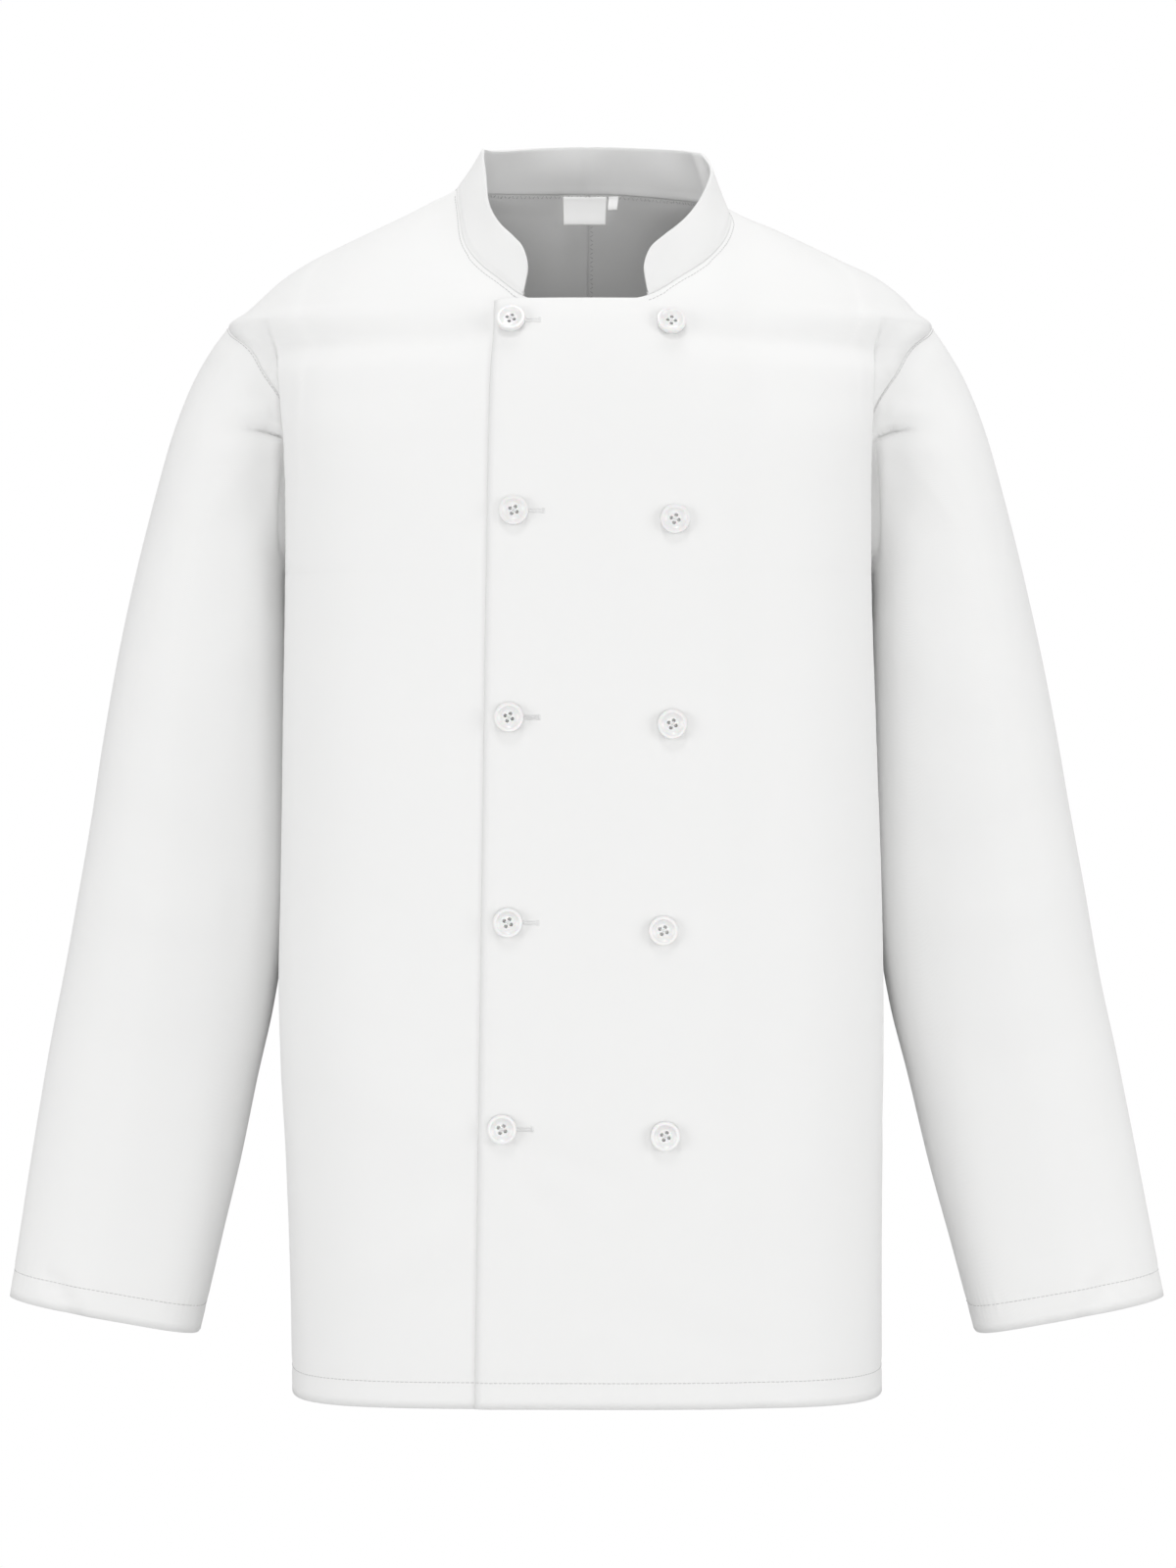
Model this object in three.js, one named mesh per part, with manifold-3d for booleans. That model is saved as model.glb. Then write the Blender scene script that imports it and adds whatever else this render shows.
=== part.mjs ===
// White long-sleeved double-breasted chef jacket, filled out as if worn, with no wearer.
// Millimetres. +X is the viewer's right, the front faces -Y, +Z is up.
// The origin is the middle of the neck base, between the two points where the shoulders meet it.
// Left and right in the pieces' names are the wearer's.

import * as THREE from "three";
import { mergeVertices } from "three/addons/utils/BufferGeometryUtils.js";
import Module from "manifold-3d";

// Driving sizes
const CLOTH = 1.4;                 // wall of a panel or sleeve
const COLLAR_CLOTH = 2.0;          // wall of the collar, two layers sewn together
const LABEL_CLOTH = 1.0;
const SEAM_GAP = 0.3;              // pieces stop this far from each other
const MID_Y = 5;                   // depth of the shoulder and side seams
const HEM_Z = -764;
const UNDERARM_Z = -250;
const SHOULDER_TIP_Z = -85;
const NECK_POINT_Z = { left: -4, right: 5 };   // the wearer's right shoulder sits a little higher
const FRONT_NECK_Z = -79;
const BACK_NECK_Z = 10;
const UNDERLAP_DROP = 2;           // the hidden neck edge stops this much lower
const WRAP_TOP = 60.5;             // how far each front passes the middle, at the neck
const WRAP_HEM = 69.5;             // and at the hem
const WRAP_LIFT = 3.0;             // the outer front lies this far outside the underlap
const LIFT_FROM = 108;             // where the lift begins and where it is complete
const LIFT_TO = 76;

// Rows of values as objects, under the names of their columns
function table(columns, ...rows) {
  return rows.map((row) => Object.fromEntries(columns.map((column, i) => [column, row[i]])));
}

// Level sections of the body, from the neck to the hem. half is half the width between the side
// seams, lean how much more of it lies to the viewer's left, front and back the depths from MID_Y,
// squareFront and squareBack how boxy the section is, tuck how far the sleeve presses the side in,
// crest the angle of the fold where the front laps over the sleeve, and shelf how far the cloth
// between that fold and the armhole comes forward.
const BODY = table(
  ["z", "half", "lean", "front", "back", "squareFront", "squareBack", "tuck", "crest", "shelf"],
  [14, 71, 7, 3, 54, 2, 2, 0, 8, 0],
  [5, 77, 8, 7, 60, 2, 2, 0, 8, 0],
  [-4, 90, 12, 16.5, 65, 2, 2, 0, 8, 0],
  [-22, 130, 8, 34.5, 71, 2, 2, 0, 8, 0],
  [-41, 169, 7.5, 55.5, 77, 2, 2, 0, 8, 0],
  [-54, 192.5, 4.5, 69.5, 81, 2, 2, 0, 8, 0],
  [-67, 208.2, 3.5, 83, 85, 2, 2, 0, 11, 0],
  [-76, 217.2, 4.3, 91.5, 87.5, 2, 2, 0.3, 12.3, 1],
  [-85, 228.4, 5, 98.5, 90, 2, 2.1, 1, 13.3, 3],
  [-90, 228.6, 5.2, 101.8, 91.4, 2, 2.1, 2.4, 14.2, 9],
  [-100, 224, 5.5, 107, 94, 2, 2.2, 5, 14.8, 19],
  [-120, 216, 5.5, 115, 98, 2.6, 2.4, 9, 19.5, 17],
  [-140, 205, 5.5, 121, 102, 3.2, 2.6, 12, 21.5, 13],
  [-165, 195, 5.5, 126.5, 106, 4, 2.8, 14, 23, 5],
  [-200, 191.3, 5.5, 131, 109, 4.2, 2.9, 14, 23, 0],
  [-250, 190, 5.5, 135, 111, 4.3, 3, 13, 23, 0],
  [-350, 191, 4.8, 139, 110, 4.3, 3, 12, 22, 0],
  [-450, 192.8, 3.9, 141, 108, 4.3, 3, 10, 21, 0],
  [-505, 193.3, 4.1, 142.5, 108, 4.3, 3, 8, 20, 0],
  [-560, 192.4, 3.4, 144, 109, 4.3, 3, 3, 20, 0],
  [-620, 189.6, 2.4, 145, 111, 4.4, 3, 0, 20, 0],
  [-700, 187.8, 1.2, 146, 114, 4.5, 3, 0, 20, 0],
  [-764, 187.2, 0.6, 146.5, 117, 4.6, 3, 0, 20, 0],
);
const CREST_LEFT_MORE = 3;         // degrees by which the fold lies further in on the wearer's left
const FOLD_WIDTH = 5;              // degrees over which the front drops behind the lap fold
const SHELF_FROM = 0.35;           // share of the fold's angle up to which the shelf is whole
const BACK_TUCK = { from: 24, to: 46 };

// Armhole: how far it reaches round the body, in degrees, and how it narrows to the shoulder tip
const ARMHOLE = { front: 18, back: 23, taperFront: 0.62, taperBack: 0.5 };

// Sleeve rings from the armhole to the cuff, by their outer and inner points, and the depths
// of their front and back. fade is what is left of the armhole's own shape.
const SLEEVE = [
  { outX: 228, outZ: -85, inX: 179, inZ: -250, frontY: -52, backY: 80, square: 2, fade: 1 },
  { outX: 237.5, outZ: -98, inX: 182, inZ: -246.5, frontY: -56, backY: 83, square: 2, fade: 0.8 },
  { outX: 250, outZ: -120, inX: 185.5, inZ: -246.5, frontY: -61, backY: 87, square: 2.1, fade: 0.5 },
  { outX: 262, outZ: -152, inX: 188, inZ: -251, frontY: -66, backY: 90, square: 2.4, fade: 0.2 },
  { outX: 274, outZ: -197, inX: 188, inZ: -264, frontY: -68, backY: 92, square: 2.8, fade: 0 },
  { outX: 286.5, outZ: -248, inX: 187.5, inZ: -288, frontY: -68, backY: 92, square: 3, fade: 0 },
  { outX: 297.5, outZ: -298, inX: 187.5, inZ: -325, frontY: -66.5, backY: 88, square: 3, fade: 0 },
  { outX: 307, outZ: -349, inX: 188, inZ: -371, frontY: -64, backY: 80, square: 3, fade: 0 },
  { outX: 315.5, outZ: -400, inX: 189, inZ: -419, frontY: -61, backY: 70, square: 2.8, fade: 0 },
  { outX: 324.5, outZ: -451, inX: 192, inZ: -470, frontY: -58, backY: 59, square: 2.7, fade: 0 },
  { outX: 333.5, outZ: -502, inX: 199.5, inZ: -521, frontY: -56, backY: 50, square: 2.5, fade: 0 },
  { outX: 343.5, outZ: -552, inX: 211, inZ: -571, frontY: -55, backY: 41, square: 2.4, fade: 0 },
  { outX: 352.5, outZ: -603, inX: 222, inZ: -622, frontY: -55, backY: 32, square: 2.3, fade: 0 },
  { outX: 361, outZ: -654, inX: 235, inZ: -674, frontY: -55, backY: 22, square: 2.3, fade: 0 },
  { outX: 370, outZ: -709, inX: 249, inZ: -731, frontY: -56, backY: 12, square: 2.3, fade: 0 },
];

const INNER_CORNER = 1.9;          // how much squarer the sleeve's front is next to the body

// Collar, by the way round from its end on the wearer's right front to the other end.
// lean is the slope towards the neck, in degrees.
const COLLAR = [
  { way: 0, height: 31, lean: 20 },
  { way: 0.14, height: 31, lean: 26 },
  { way: 0.3, height: 31, lean: 32 },
  { way: 0.5, height: 31, lean: 15 },
  { way: 0.7, height: 34, lean: 17 },
  { way: 0.86, height: 32, lean: 24 },
  { way: 1, height: 31, lean: 20 },
];
const COLLAR_END_RADIUS = 16;
const COLLAR_END_ANGLE = { right: 66, left: 68.5 };   // where its ends sit on the fronts

// Buttons: their size, and their places on the outer front. drop is how much lower the sewn one hangs.
const BUTTON = { radius: 9, thick: 3.2, rimInner: 6.6, dishRadius: 4.5, dishDepth: 1.1, edge: 0.7 };
const BUTTON_HOLE = { radius: 0.9, reach: 2.3, count: 4 };
const BUTTON_ROWS = [
  { z: -93.5, drop: 1.2, throughX: -48.7, sewnX: 53.0, throughTurn: 18, sewnTurn: 45, stand: 0.35 },
  { z: -213.0, drop: 5.4, throughX: -45.8, sewnX: 53.6, throughTurn: 15, sewnTurn: 30, stand: 0.15 },
  { z: -340.2, drop: 4.2, throughX: -48.6, sewnX: 51.7, throughTurn: 20, sewnTurn: 24, stand: 0.15 },
  { z: -466.2, drop: 4.8, throughX: -49.2, sewnX: 46.2, throughTurn: 17, sewnTurn: 20, stand: 0.15 },
  { z: -592.5, drop: 4.2, throughX: -52.7, sewnX: 47.3, throughTurn: 16, sewnTurn: 22, stand: 0.15 },
];

// Label and size tab inside the back of the neck
const LABEL = { fromX: -17, toX: 12.5, top: 9, bottom: -7.5 };
const LABEL_STAND = 0.7;           // they hang this much further inside
const SIZE_TAB = { fromX: 14.3, toX: 21.5, top: 9, bottom: 2.5 };

// Mesh fineness
const ROWS_BELOW = 12;             // rows from the hem to the underarm
const ROWS_ABOVE = 11;             // rows from the underarm to the shoulder
const NECK_COLUMNS = 6;            // columns that end on the neck edge
const SHOULDER_COLUMNS = 6;        // columns that end on the shoulder seam
const WRAP_COLUMNS = 3;            // columns past the middle of the front

const WHITE_CLOTH = new THREE.MeshStandardMaterial({ color: 0xf4f4f2, roughness: 0.85, metalness: 0 });
const LABEL_WEAVE = new THREE.MeshStandardMaterial({ color: 0xf2f2f0, roughness: 0.55, metalness: 0 });
const BUTTON_PLASTIC = new THREE.MeshStandardMaterial({ color: 0xf0f0ee, roughness: 0.3, metalness: 0 });

const radians = THREE.MathUtils.degToRad;
const lerp = THREE.MathUtils.lerp;
const smooth = THREE.MathUtils.smoothstep;

// A value of a table's column at a place between its rows, with no overshoot
function along(rows, key, column, at) {
  const falling = rows[0][key] > rows[rows.length - 1][key];
  const place = falling ? -at : at;
  const x = rows.map((row) => (falling ? -row[key] : row[key]));
  const y = rows.map((row) => row[column]);
  const last = rows.length - 1;
  if (place <= x[0]) return y[0];
  if (place >= x[last]) return y[last];
  const slope = (i) => (y[i + 1] - y[i]) / (x[i + 1] - x[i]);
  const tangent = (i) => {
    if (i === 0 || i === last) return slope(Math.min(i, last - 1));
    const before = slope(i - 1);
    const after = slope(i);
    return before * after <= 0 ? 0 : (2 * before * after) / (before + after);
  };
  const i = x.findIndex((value, n) => n < last && place >= value && place < x[n + 1]);
  const step = x[i + 1] - x[i];
  const t = (place - x[i]) / step;
  const rest = 1 - t;
  const ends = y[i] * (1 + 2 * t) * rest * rest + y[i + 1] * t * t * (3 - 2 * t);
  return ends + step * (tangent(i) * t * rest * rest - tangent(i + 1) * t * t * rest);
}

// A point of the body's surface. side is 1 on the viewer's right and -1 on the left; angle is 0 at
// the side seam, 90 at the middle of the front and may pass it; face is 1 in front and -1 behind.
function bodyPoint(side, face, angle, z) {
  const row = (column) => along(BODY, "z", column, z);
  const across = angle > 90 ? -side : side;
  const turned = angle > 90 ? 180 - angle : angle;
  const half = row("half") - across * row("lean");
  const depth = row(face > 0 ? "front" : "back");
  const power = row(face > 0 ? "squareFront" : "squareBack");
  const cos = Math.cos(radians(turned));
  const sin = Math.sin(radians(turned));
  const crest = row("crest") + (across > 0 ? CREST_LEFT_MORE : 0);
  const pressed = face > 0
    ? 1 - smooth(turned, crest - FOLD_WIDTH, crest)
    : 1 - smooth(turned, BACK_TUCK.from, BACK_TUCK.to);
  const radius = (Math.abs(cos / half) ** power + Math.abs(sin / depth) ** power) ** (-1 / power);
  const reach = radius - row("tuck") * pressed;
  const forward = face > 0 ? row("shelf") * (1 - smooth(turned, crest * SHELF_FROM, crest)) : 0;
  return new THREE.Vector3(across * reach * cos, MID_Y - face * reach * sin - forward, z);
}

// The surface's direction outwards
function bodyNormal(side, face, angle, z) {
  const step = 0.4;
  const low = Math.max(angle - step, 0);
  const around = bodyPoint(side, face, angle + step, z).sub(bodyPoint(side, face, low, z));
  if (angle < step) around.set(0, -face, 0);
  const up = bodyPoint(side, face, angle, z + step).sub(bodyPoint(side, face, angle, z - step));
  return around.cross(up).multiplyScalar(-side * face).normalize();
}

// Height of the neck edge above each angle
function neckZ(side, face, angle) {
  const point = side > 0 ? NECK_POINT_Z.left : NECK_POINT_Z.right;
  const turned = Math.sin(radians(Math.min(angle, 90)));
  if (face < 0) return lerp(point, BACK_NECK_Z, turned);
  const flat = Math.min(1, turned + 0.05 * smooth(angle, 50, 70));
  const lowest = side > 0 ? FRONT_NECK_Z : FRONT_NECK_Z - UNDERLAP_DROP * smooth(angle, 66, 80);
  return lerp(point, lowest, flat);
}

// Angle at which a front ends past the middle
function wrapAngle(z) {
  const past = lerp(WRAP_TOP, WRAP_HEM, (FRONT_NECK_Z - z) / (FRONT_NECK_Z - HEM_Z));
  return 90 + THREE.MathUtils.radToDeg(Math.atan(past / along(BODY, "z", "front", z)));
}

// Armhole angle at a turn of its outline, -90 at the underarm and 90 at the shoulder tip
function armholeAngle(face, turn) {
  const sin = Math.sin(radians(turn));
  const taper = face > 0 ? ARMHOLE.taperFront : ARMHOLE.taperBack;
  const reach = face > 0 ? ARMHOLE.front : ARMHOLE.back;
  return reach * Math.cos(radians(turn)) * (1 - taper * Math.max(0, sin) ** 2);
}

// Column places of a panel from its middle edge to its side edge. neck is the angle on the
// neck edge, or 0 where the column ends on the shoulder seam, at share along it.
function panelColumns(side, face, collarEnd) {
  const columns = [];
  if (face > 0) {
    for (let i = 0; i < WRAP_COLUMNS; i += 1) {
      columns.push({ past: 1 - i / WRAP_COLUMNS, neck: 90, share: 0 });
    }
    columns.push({ past: 0, neck: 90, share: 0 });
    columns.push({ past: 0, neck: (90 + collarEnd) / 2, share: 0 });
  }
  const first = face > 0 ? collarEnd : 90;
  for (let i = 0; i <= NECK_COLUMNS; i += 1) {
    columns.push({ past: 0, neck: first * (1 - i / NECK_COLUMNS), share: 0 });
  }
  for (let i = 1; i <= SHOULDER_COLUMNS; i += 1) {
    columns.push({ past: 0, neck: 0, share: i / SHOULDER_COLUMNS });
  }
  const inner = columns.filter((column) => column.past === 0);
  inner.forEach((column, i) => { column.low = 90 * (1 - i / (inner.length - 1)); });
  return columns;
}

// One point of a panel, as its angle and height. row counts from the hem to the top edge.
function panelPlace(side, face, column, row) {
  const top = column.share > 0
    ? lerp(neckZ(side, face, 0), SHOULDER_TIP_Z, column.share)
    : neckZ(side, face, column.neck);
  if (row <= ROWS_BELOW) {
    const z = lerp(HEM_Z, UNDERARM_Z, row / ROWS_BELOW);
    const angle = column.past > 0 ? lerp(90, wrapAngle(z), column.past) : column.low;
    return { angle, z };
  }
  const turn = lerp(-90, 90, (row - ROWS_BELOW) / ROWS_ABOVE);
  const share = (1 + Math.sin(radians(turn))) / 2;
  const z = lerp(UNDERARM_Z, top, share);
  if (column.past > 0) return { angle: lerp(90, wrapAngle(z), column.past), z };
  const edge = armholeAngle(face, turn);
  const spread = lerp(column.low, column.neck, share) / 90;
  return { angle: lerp(edge, 90, spread), z };
}

// How far the outer front is lifted off the underlap
function wrapLift(point) {
  return WRAP_LIFT * (1 - smooth(point.x, LIFT_TO, LIFT_FROM));
}

// A panel as a grid of middle points and outward directions, rows from the hem up
function panelGrid(side, face, columns) {
  const grid = [];
  for (let row = 0; row <= ROWS_BELOW + ROWS_ABOVE; row += 1) {
    grid.push(columns.map((column) => {
      const { angle, z } = panelPlace(side, face, column, row);
      const point = bodyPoint(side, face, angle, z);
      const out = bodyNormal(side, face, angle, z);
      if (side > 0 && face > 0) point.addScaledVector(out, wrapLift(point));
      return { point, out };
    }));
  }
  return grid;
}

// Moves a grid's edge away from a seam by half the seam's gap
function drawIn(edge, inside, distance) {
  edge.forEach((node, i) => {
    const step = inside[i].point.clone().sub(node.point).normalize();
    node.point.addScaledVector(step, distance);
  });
}

// A closed wall round a grid of middle points, open at its four edges or closed round its rows
function wall(grid, thickness, ring) {
  const rows = grid.length;
  const columns = grid[0].length;
  const spots = [];
  for (const sign of [1, -1]) {
    for (const row of grid) {
      for (const node of row) {
        spots.push(node.point.clone().addScaledVector(node.out, (sign * thickness) / 2));
      }
    }
  }
  const inside = rows * columns;
  const faces = [];
  const quad = (a, b, c, d) => faces.push([a, b, c], [a, c, d]);
  const at = (i, j) => i * columns + (j % columns);
  const across = ring ? columns : columns - 1;
  for (let i = 0; i < rows - 1; i += 1) {
    for (let j = 0; j < across; j += 1) {
      const corners = [at(i, j), at(i, j + 1), at(i + 1, j + 1), at(i + 1, j)];
      quad(...corners);
      quad(...corners.map((index) => index + inside).reverse());
    }
  }
  for (let j = 0; j < across; j += 1) {
    quad(at(0, j + 1), at(0, j), at(0, j) + inside, at(0, j + 1) + inside);
    const top = rows - 1;
    quad(at(top, j), at(top, j + 1), at(top, j + 1) + inside, at(top, j) + inside);
  }
  if (!ring) {
    for (let i = 0; i < rows - 1; i += 1) {
      quad(at(i, 0), at(i + 1, 0), at(i + 1, 0) + inside, at(i, 0) + inside);
      const end = columns - 1;
      quad(at(i + 1, end), at(i, end), at(i, end) + inside, at(i + 1, end) + inside);
    }
  }
  return closedGeometry(spots, faces);
}

// A geometry from points and triangles, turned so that its faces point out
function closedGeometry(spots, faces) {
  const volume = faces.reduce((sum, [a, b, c]) => sum + spots[a].dot(spots[b].clone().cross(spots[c])), 0);
  const order = volume < 0 ? faces.map(([a, b, c]) => [a, c, b]) : faces;
  const geometry = new THREE.BufferGeometry();
  geometry.setAttribute("position", new THREE.Float32BufferAttribute(spots.flatMap((p) => p.toArray()), 3));
  geometry.setIndex(order.flat());
  geometry.computeVertexNormals();
  return geometry;
}

// The four panels, with their seams drawn in
const PANELS = [["front_left", 1, 1], ["front_right", -1, 1], ["back_left", 1, -1], ["back_right", -1, -1]];
const panels = {};
for (const [name, side, face] of PANELS) {
  const collarEnd = side > 0 ? COLLAR_END_ANGLE.left : COLLAR_END_ANGLE.right;
  const columns = panelColumns(side, face, collarEnd);
  const grid = panelGrid(side, face, columns);
  panels[name] = { columns, grid, side, face, collarEnd };
}

// Armhole of one side: the edge points of its panels from the underarm round the front, over the
// shoulder tip and down the back, each with the direction in which the panel would go on
function armholeLoop(side) {
  const loop = [];
  const last = (grid, row) => grid[row][grid[row].length - 1];
  const front = panels[side > 0 ? "front_left" : "front_right"];
  const back = panels[side > 0 ? "back_left" : "back_right"];
  for (let i = 0; i <= ROWS_ABOVE; i += 1) {
    loop.push({ ...last(front.grid, ROWS_BELOW + i), face: 1, turn: lerp(-90, 90, i / ROWS_ABOVE) });
  }
  for (let i = ROWS_ABOVE - 1; i > 0; i -= 1) {
    loop.push({ ...last(back.grid, ROWS_BELOW + i), face: -1, turn: lerp(-90, 90, i / ROWS_ABOVE) });
  }
  return loop.map((node, i) => {
    const next = loop[(i + 1) % loop.length].point;
    const before = loop[(i + loop.length - 1) % loop.length].point;
    const onward = next.clone().sub(before).normalize().cross(node.out).multiplyScalar(side);
    return { ...node, onward: onward.normalize() };
  });
}

// A ring of the sleeve before the armhole's own shape is added
function sleeveRing(side, row, face, turn) {
  const sin = Math.sin(radians(turn));
  const cos = Math.cos(radians(turn));
  const corner = face > 0 && sin < 0 ? 1 + (INNER_CORNER - 1) * (1 - row.fade) : 1;
  const power = 2 / (row.square * corner);
  const across = Math.sign(sin) * Math.abs(sin) ** power;
  const deep = Math.abs(cos) ** power;
  const z = lerp(row.inZ, row.outZ, (1 + across) / 2);
  const x = lerp(row.inX, row.outX, (1 + across) / 2) - side * along(BODY, "z", "lean", z);
  const middle = (row.frontY + row.backY) / 2;
  const y = middle - face * deep * (row.backY - row.frontY) / 2;
  return new THREE.Vector3(side * x, y, z);
}

function sleeveGrid(side) {
  const loop = armholeLoop(side);
  const grid = SLEEVE.map((row) => loop.map((node) => {
    const own = node.point.clone().sub(sleeveRing(side, SLEEVE[0], node.face, node.turn));
    const point = sleeveRing(side, row, node.face, node.turn).addScaledVector(own, row.fade);
    return { point, out: new THREE.Vector3() };
  }));
  const count = loop.length;
  grid.forEach((row, i) => row.forEach((node, j) => {
    const around = row[(j + 1) % count].point.clone().sub(row[(j + count - 1) % count].point);
    const below = grid[Math.min(i + 1, grid.length - 1)][j].point;
    const above = grid[Math.max(i - 1, 0)][j].point;
    node.out.crossVectors(around, below.clone().sub(above)).multiplyScalar(-side).normalize();
  }));
  loop.forEach((node, j) => {
    const start = grid[0][j];
    const leave = grid[1][j].point.clone().sub(node.point).normalize();
    const apart = Math.sqrt(Math.max(0, 1 - leave.dot(node.onward) ** 2));
    start.point.copy(node.point).addScaledVector(node.onward, 1.5 * SEAM_GAP + (apart * CLOTH) / 2);
    start.out.copy(node.out).addScaledVector(leave, -node.out.dot(leave)).normalize();
  });
  return grid;
}

// The collar's base: the neck edge from one collar end round the back to the other
function collarBase() {
  const base = [];
  const take = (panel, reverse) => {
    const top = panel.grid[panel.grid.length - 1];
    const picked = top.filter((_, i) => {
      const { past, share, neck } = panel.columns[i];
      return share === 0 && past === 0 && (panel.face < 0 || neck <= panel.collarEnd);
    });
    if (reverse) picked.reverse();
    base.push(...(base.length ? picked.slice(1) : picked));
  };
  take(panels.front_right, false);
  take(panels.back_right, true);
  take(panels.back_left, false);
  take(panels.front_left, true);
  return base.map((node, i) => {
    const next = base[Math.min(i + 1, base.length - 1)].point;
    const before = base[Math.max(i - 1, 0)].point;
    const rise = next.clone().sub(before).cross(node.out).normalize();
    return { point: node.point.clone(), out: node.out.clone(), rise };
  });
}

// Stations of the collar, with more of them in its rounded ends
function collarStations(base) {
  const lengths = [0];
  for (let i = 1; i < base.length; i += 1) {
    lengths.push(lengths[i - 1] + base[i].point.distanceTo(base[i - 1].point));
  }
  const total = lengths[lengths.length - 1];
  const extra = [];
  for (const bend of [18, 36, 54, 72, 90]) {
    const place = COLLAR_END_RADIUS * (1 - Math.cos(radians(bend)));
    extra.push(place, total - place);
  }
  const clear = (place) => extra.every((other) => Math.abs(other - place) > 2);
  const kept = lengths.filter((place, i) => i === 0 || i === base.length - 1 || clear(place));
  const places = [...kept, ...extra];
  places.sort((a, b) => a - b);
  return places.map((place) => {
    const i = Math.min(base.length - 2, lengths.findIndex((_, n) => lengths[n + 1] >= place));
    const share = (place - lengths[i]) / (lengths[i + 1] - lengths[i]);
    const mix = (key) => base[i][key].clone().lerp(base[i + 1][key], share);
    return { place, total, point: mix("point"), out: mix("out").normalize(), rise: mix("rise").normalize() };
  });
}

function collarGrid() {
  const stations = collarStations(collarBase());
  const centre = new THREE.Vector3(0, -15, 0);
  const levels = [0, 0.12, 0.45, 0.75, 1];
  const columns = stations.map((station) => {
    const way = station.place / station.total;
    const lean = radians(along(COLLAR, "way", "lean", way));
    const toNeck = centre.clone().sub(station.point).setZ(0).normalize();
    const rise = new THREE.Vector3(0, 0, Math.cos(lean)).addScaledVector(toNeck, Math.sin(lean));
    const fromEnd = Math.min(station.place, station.total - station.place, COLLAR_END_RADIUS);
    const inner = 1 - fromEnd / COLLAR_END_RADIUS;
    const cut = COLLAR_END_RADIUS * (1 - Math.sqrt(1 - inner * inner));
    const height = along(COLLAR, "way", "height", way) - cut;
    const start = station.point.clone().addScaledVector(station.rise, 2 * SEAM_GAP);
    return levels.map((level) => {
      const bend = level === 0 ? 0 : 1;
      const point = start.clone().addScaledVector(rise, height * level);
      if (bend) point.addScaledVector(station.rise, 0.6);
      return { point, out: station.out.clone() };
    });
  });
  const grid = levels.map((_, i) => columns.map((column) => column[i]));
  grid.forEach((row, i) => row.forEach((node, j) => {
    if (i === 0) return;
    const around = row[Math.min(j + 1, row.length - 1)].point.clone().sub(row[Math.max(j - 1, 0)].point);
    const above = grid[Math.min(i + 1, grid.length - 1)][j].point;
    const up = above.clone().sub(grid[i - 1][j].point);
    node.out.crossVectors(up, around).normalize();
  }));
  return grid;
}

// A patch of cloth lying inside the back, across its middle seam
function insidePatch(place) {
  const levels = 2;
  const steps = 6;
  const inwards = CLOTH / 2 + SEAM_GAP + LABEL_CLOTH / 2 + LABEL_STAND;
  const grid = [];
  for (let i = 0; i <= levels; i += 1) {
    const row = [];
    for (let j = 0; j <= steps; j += 1) {
      const x = lerp(place.fromX, place.toX, j / steps);
      const z = lerp(place.bottom, place.top, i / levels);
      const side = x < 0 ? -1 : 1;
      const depth = along(BODY, "z", "back", z);
      const angle = THREE.MathUtils.radToDeg(Math.atan2(depth, Math.abs(x)));
      const out = bodyNormal(side, -1, angle, z);
      const point = bodyPoint(side, -1, angle, z).addScaledVector(out, -inwards);
      row.push({ point, out });
    }
    grid.push(row);
  }
  return grid;
}

// The solid modeller, for the buttons' holes
const wasm = await Module();
wasm.setup();

function solidFrom(geometry) {
  const bare = geometry.clone();
  bare.deleteAttribute("normal");
  bare.deleteAttribute("uv");
  const merged = mergeVertices(bare, 1e-4);
  return new wasm.Manifold(new wasm.Mesh({
    numProp: 3,
    vertProperties: new Float32Array(merged.attributes.position.array),
    triVerts: new Uint32Array(merged.index.array),
  }));
}

function geometryFrom(solid) {
  const { vertProperties, triVerts } = solid.getMesh();
  const geometry = new THREE.BufferGeometry();
  geometry.setAttribute("position", new THREE.Float32BufferAttribute(vertProperties, 3));
  geometry.setIndex([...triVerts]);
  geometry.computeVertexNormals();
  return geometry;
}

// A four-hole button, lying on its back with its face up
function buttonGeometry() {
  const { radius, thick, rimInner, dishRadius, dishDepth, edge } = BUTTON;
  const profile = [
    [0, 0], [radius - 1.6, 0], [radius, 1.2], [radius, thick - edge], [radius - edge, thick],
    [rimInner, thick], [dishRadius, thick - dishDepth], [0, thick - dishDepth],
  ].map(([r, h]) => new THREE.Vector2(r, h));
  const disc = new THREE.LatheGeometry(profile, 20).rotateX(Math.PI / 2);
  let solid = solidFrom(disc);
  if (solid.volume() < 0) throw new Error("the button is inside out");
  for (let i = 0; i < BUTTON_HOLE.count; i += 1) {
    const angle = (i / BUTTON_HOLE.count) * 2 * Math.PI;
    const pin = new THREE.CylinderGeometry(BUTTON_HOLE.radius, BUTTON_HOLE.radius, 2 * thick, 6);
    const across = BUTTON_HOLE.reach * Math.cos(angle);
    const up = BUTTON_HOLE.reach * Math.sin(angle);
    pin.rotateX(Math.PI / 2).translate(across, up, thick / 2);
    solid = solid.subtract(solidFrom(pin));
  }
  return geometryFrom(solid);
}

// Puts a button on the outer front at a place given by its x and z
function placeButton(mesh, x, z, turn, stand) {
  const side = x < 0 ? -1 : 1;
  const depth = along(BODY, "z", "front", z);
  const angle = THREE.MathUtils.radToDeg(Math.atan2(depth, Math.abs(x)));
  const point = bodyPoint(side, 1, angle, z);
  const out = bodyNormal(side, 1, angle, z);
  point.addScaledVector(out, WRAP_LIFT + CLOTH / 2 + SEAM_GAP + stand);
  mesh.position.copy(point);
  mesh.quaternion.setFromUnitVectors(new THREE.Vector3(0, 0, 1), out);
  mesh.rotateZ(radians(turn));
}

// The jacket
const jacket = new THREE.Group();

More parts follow.
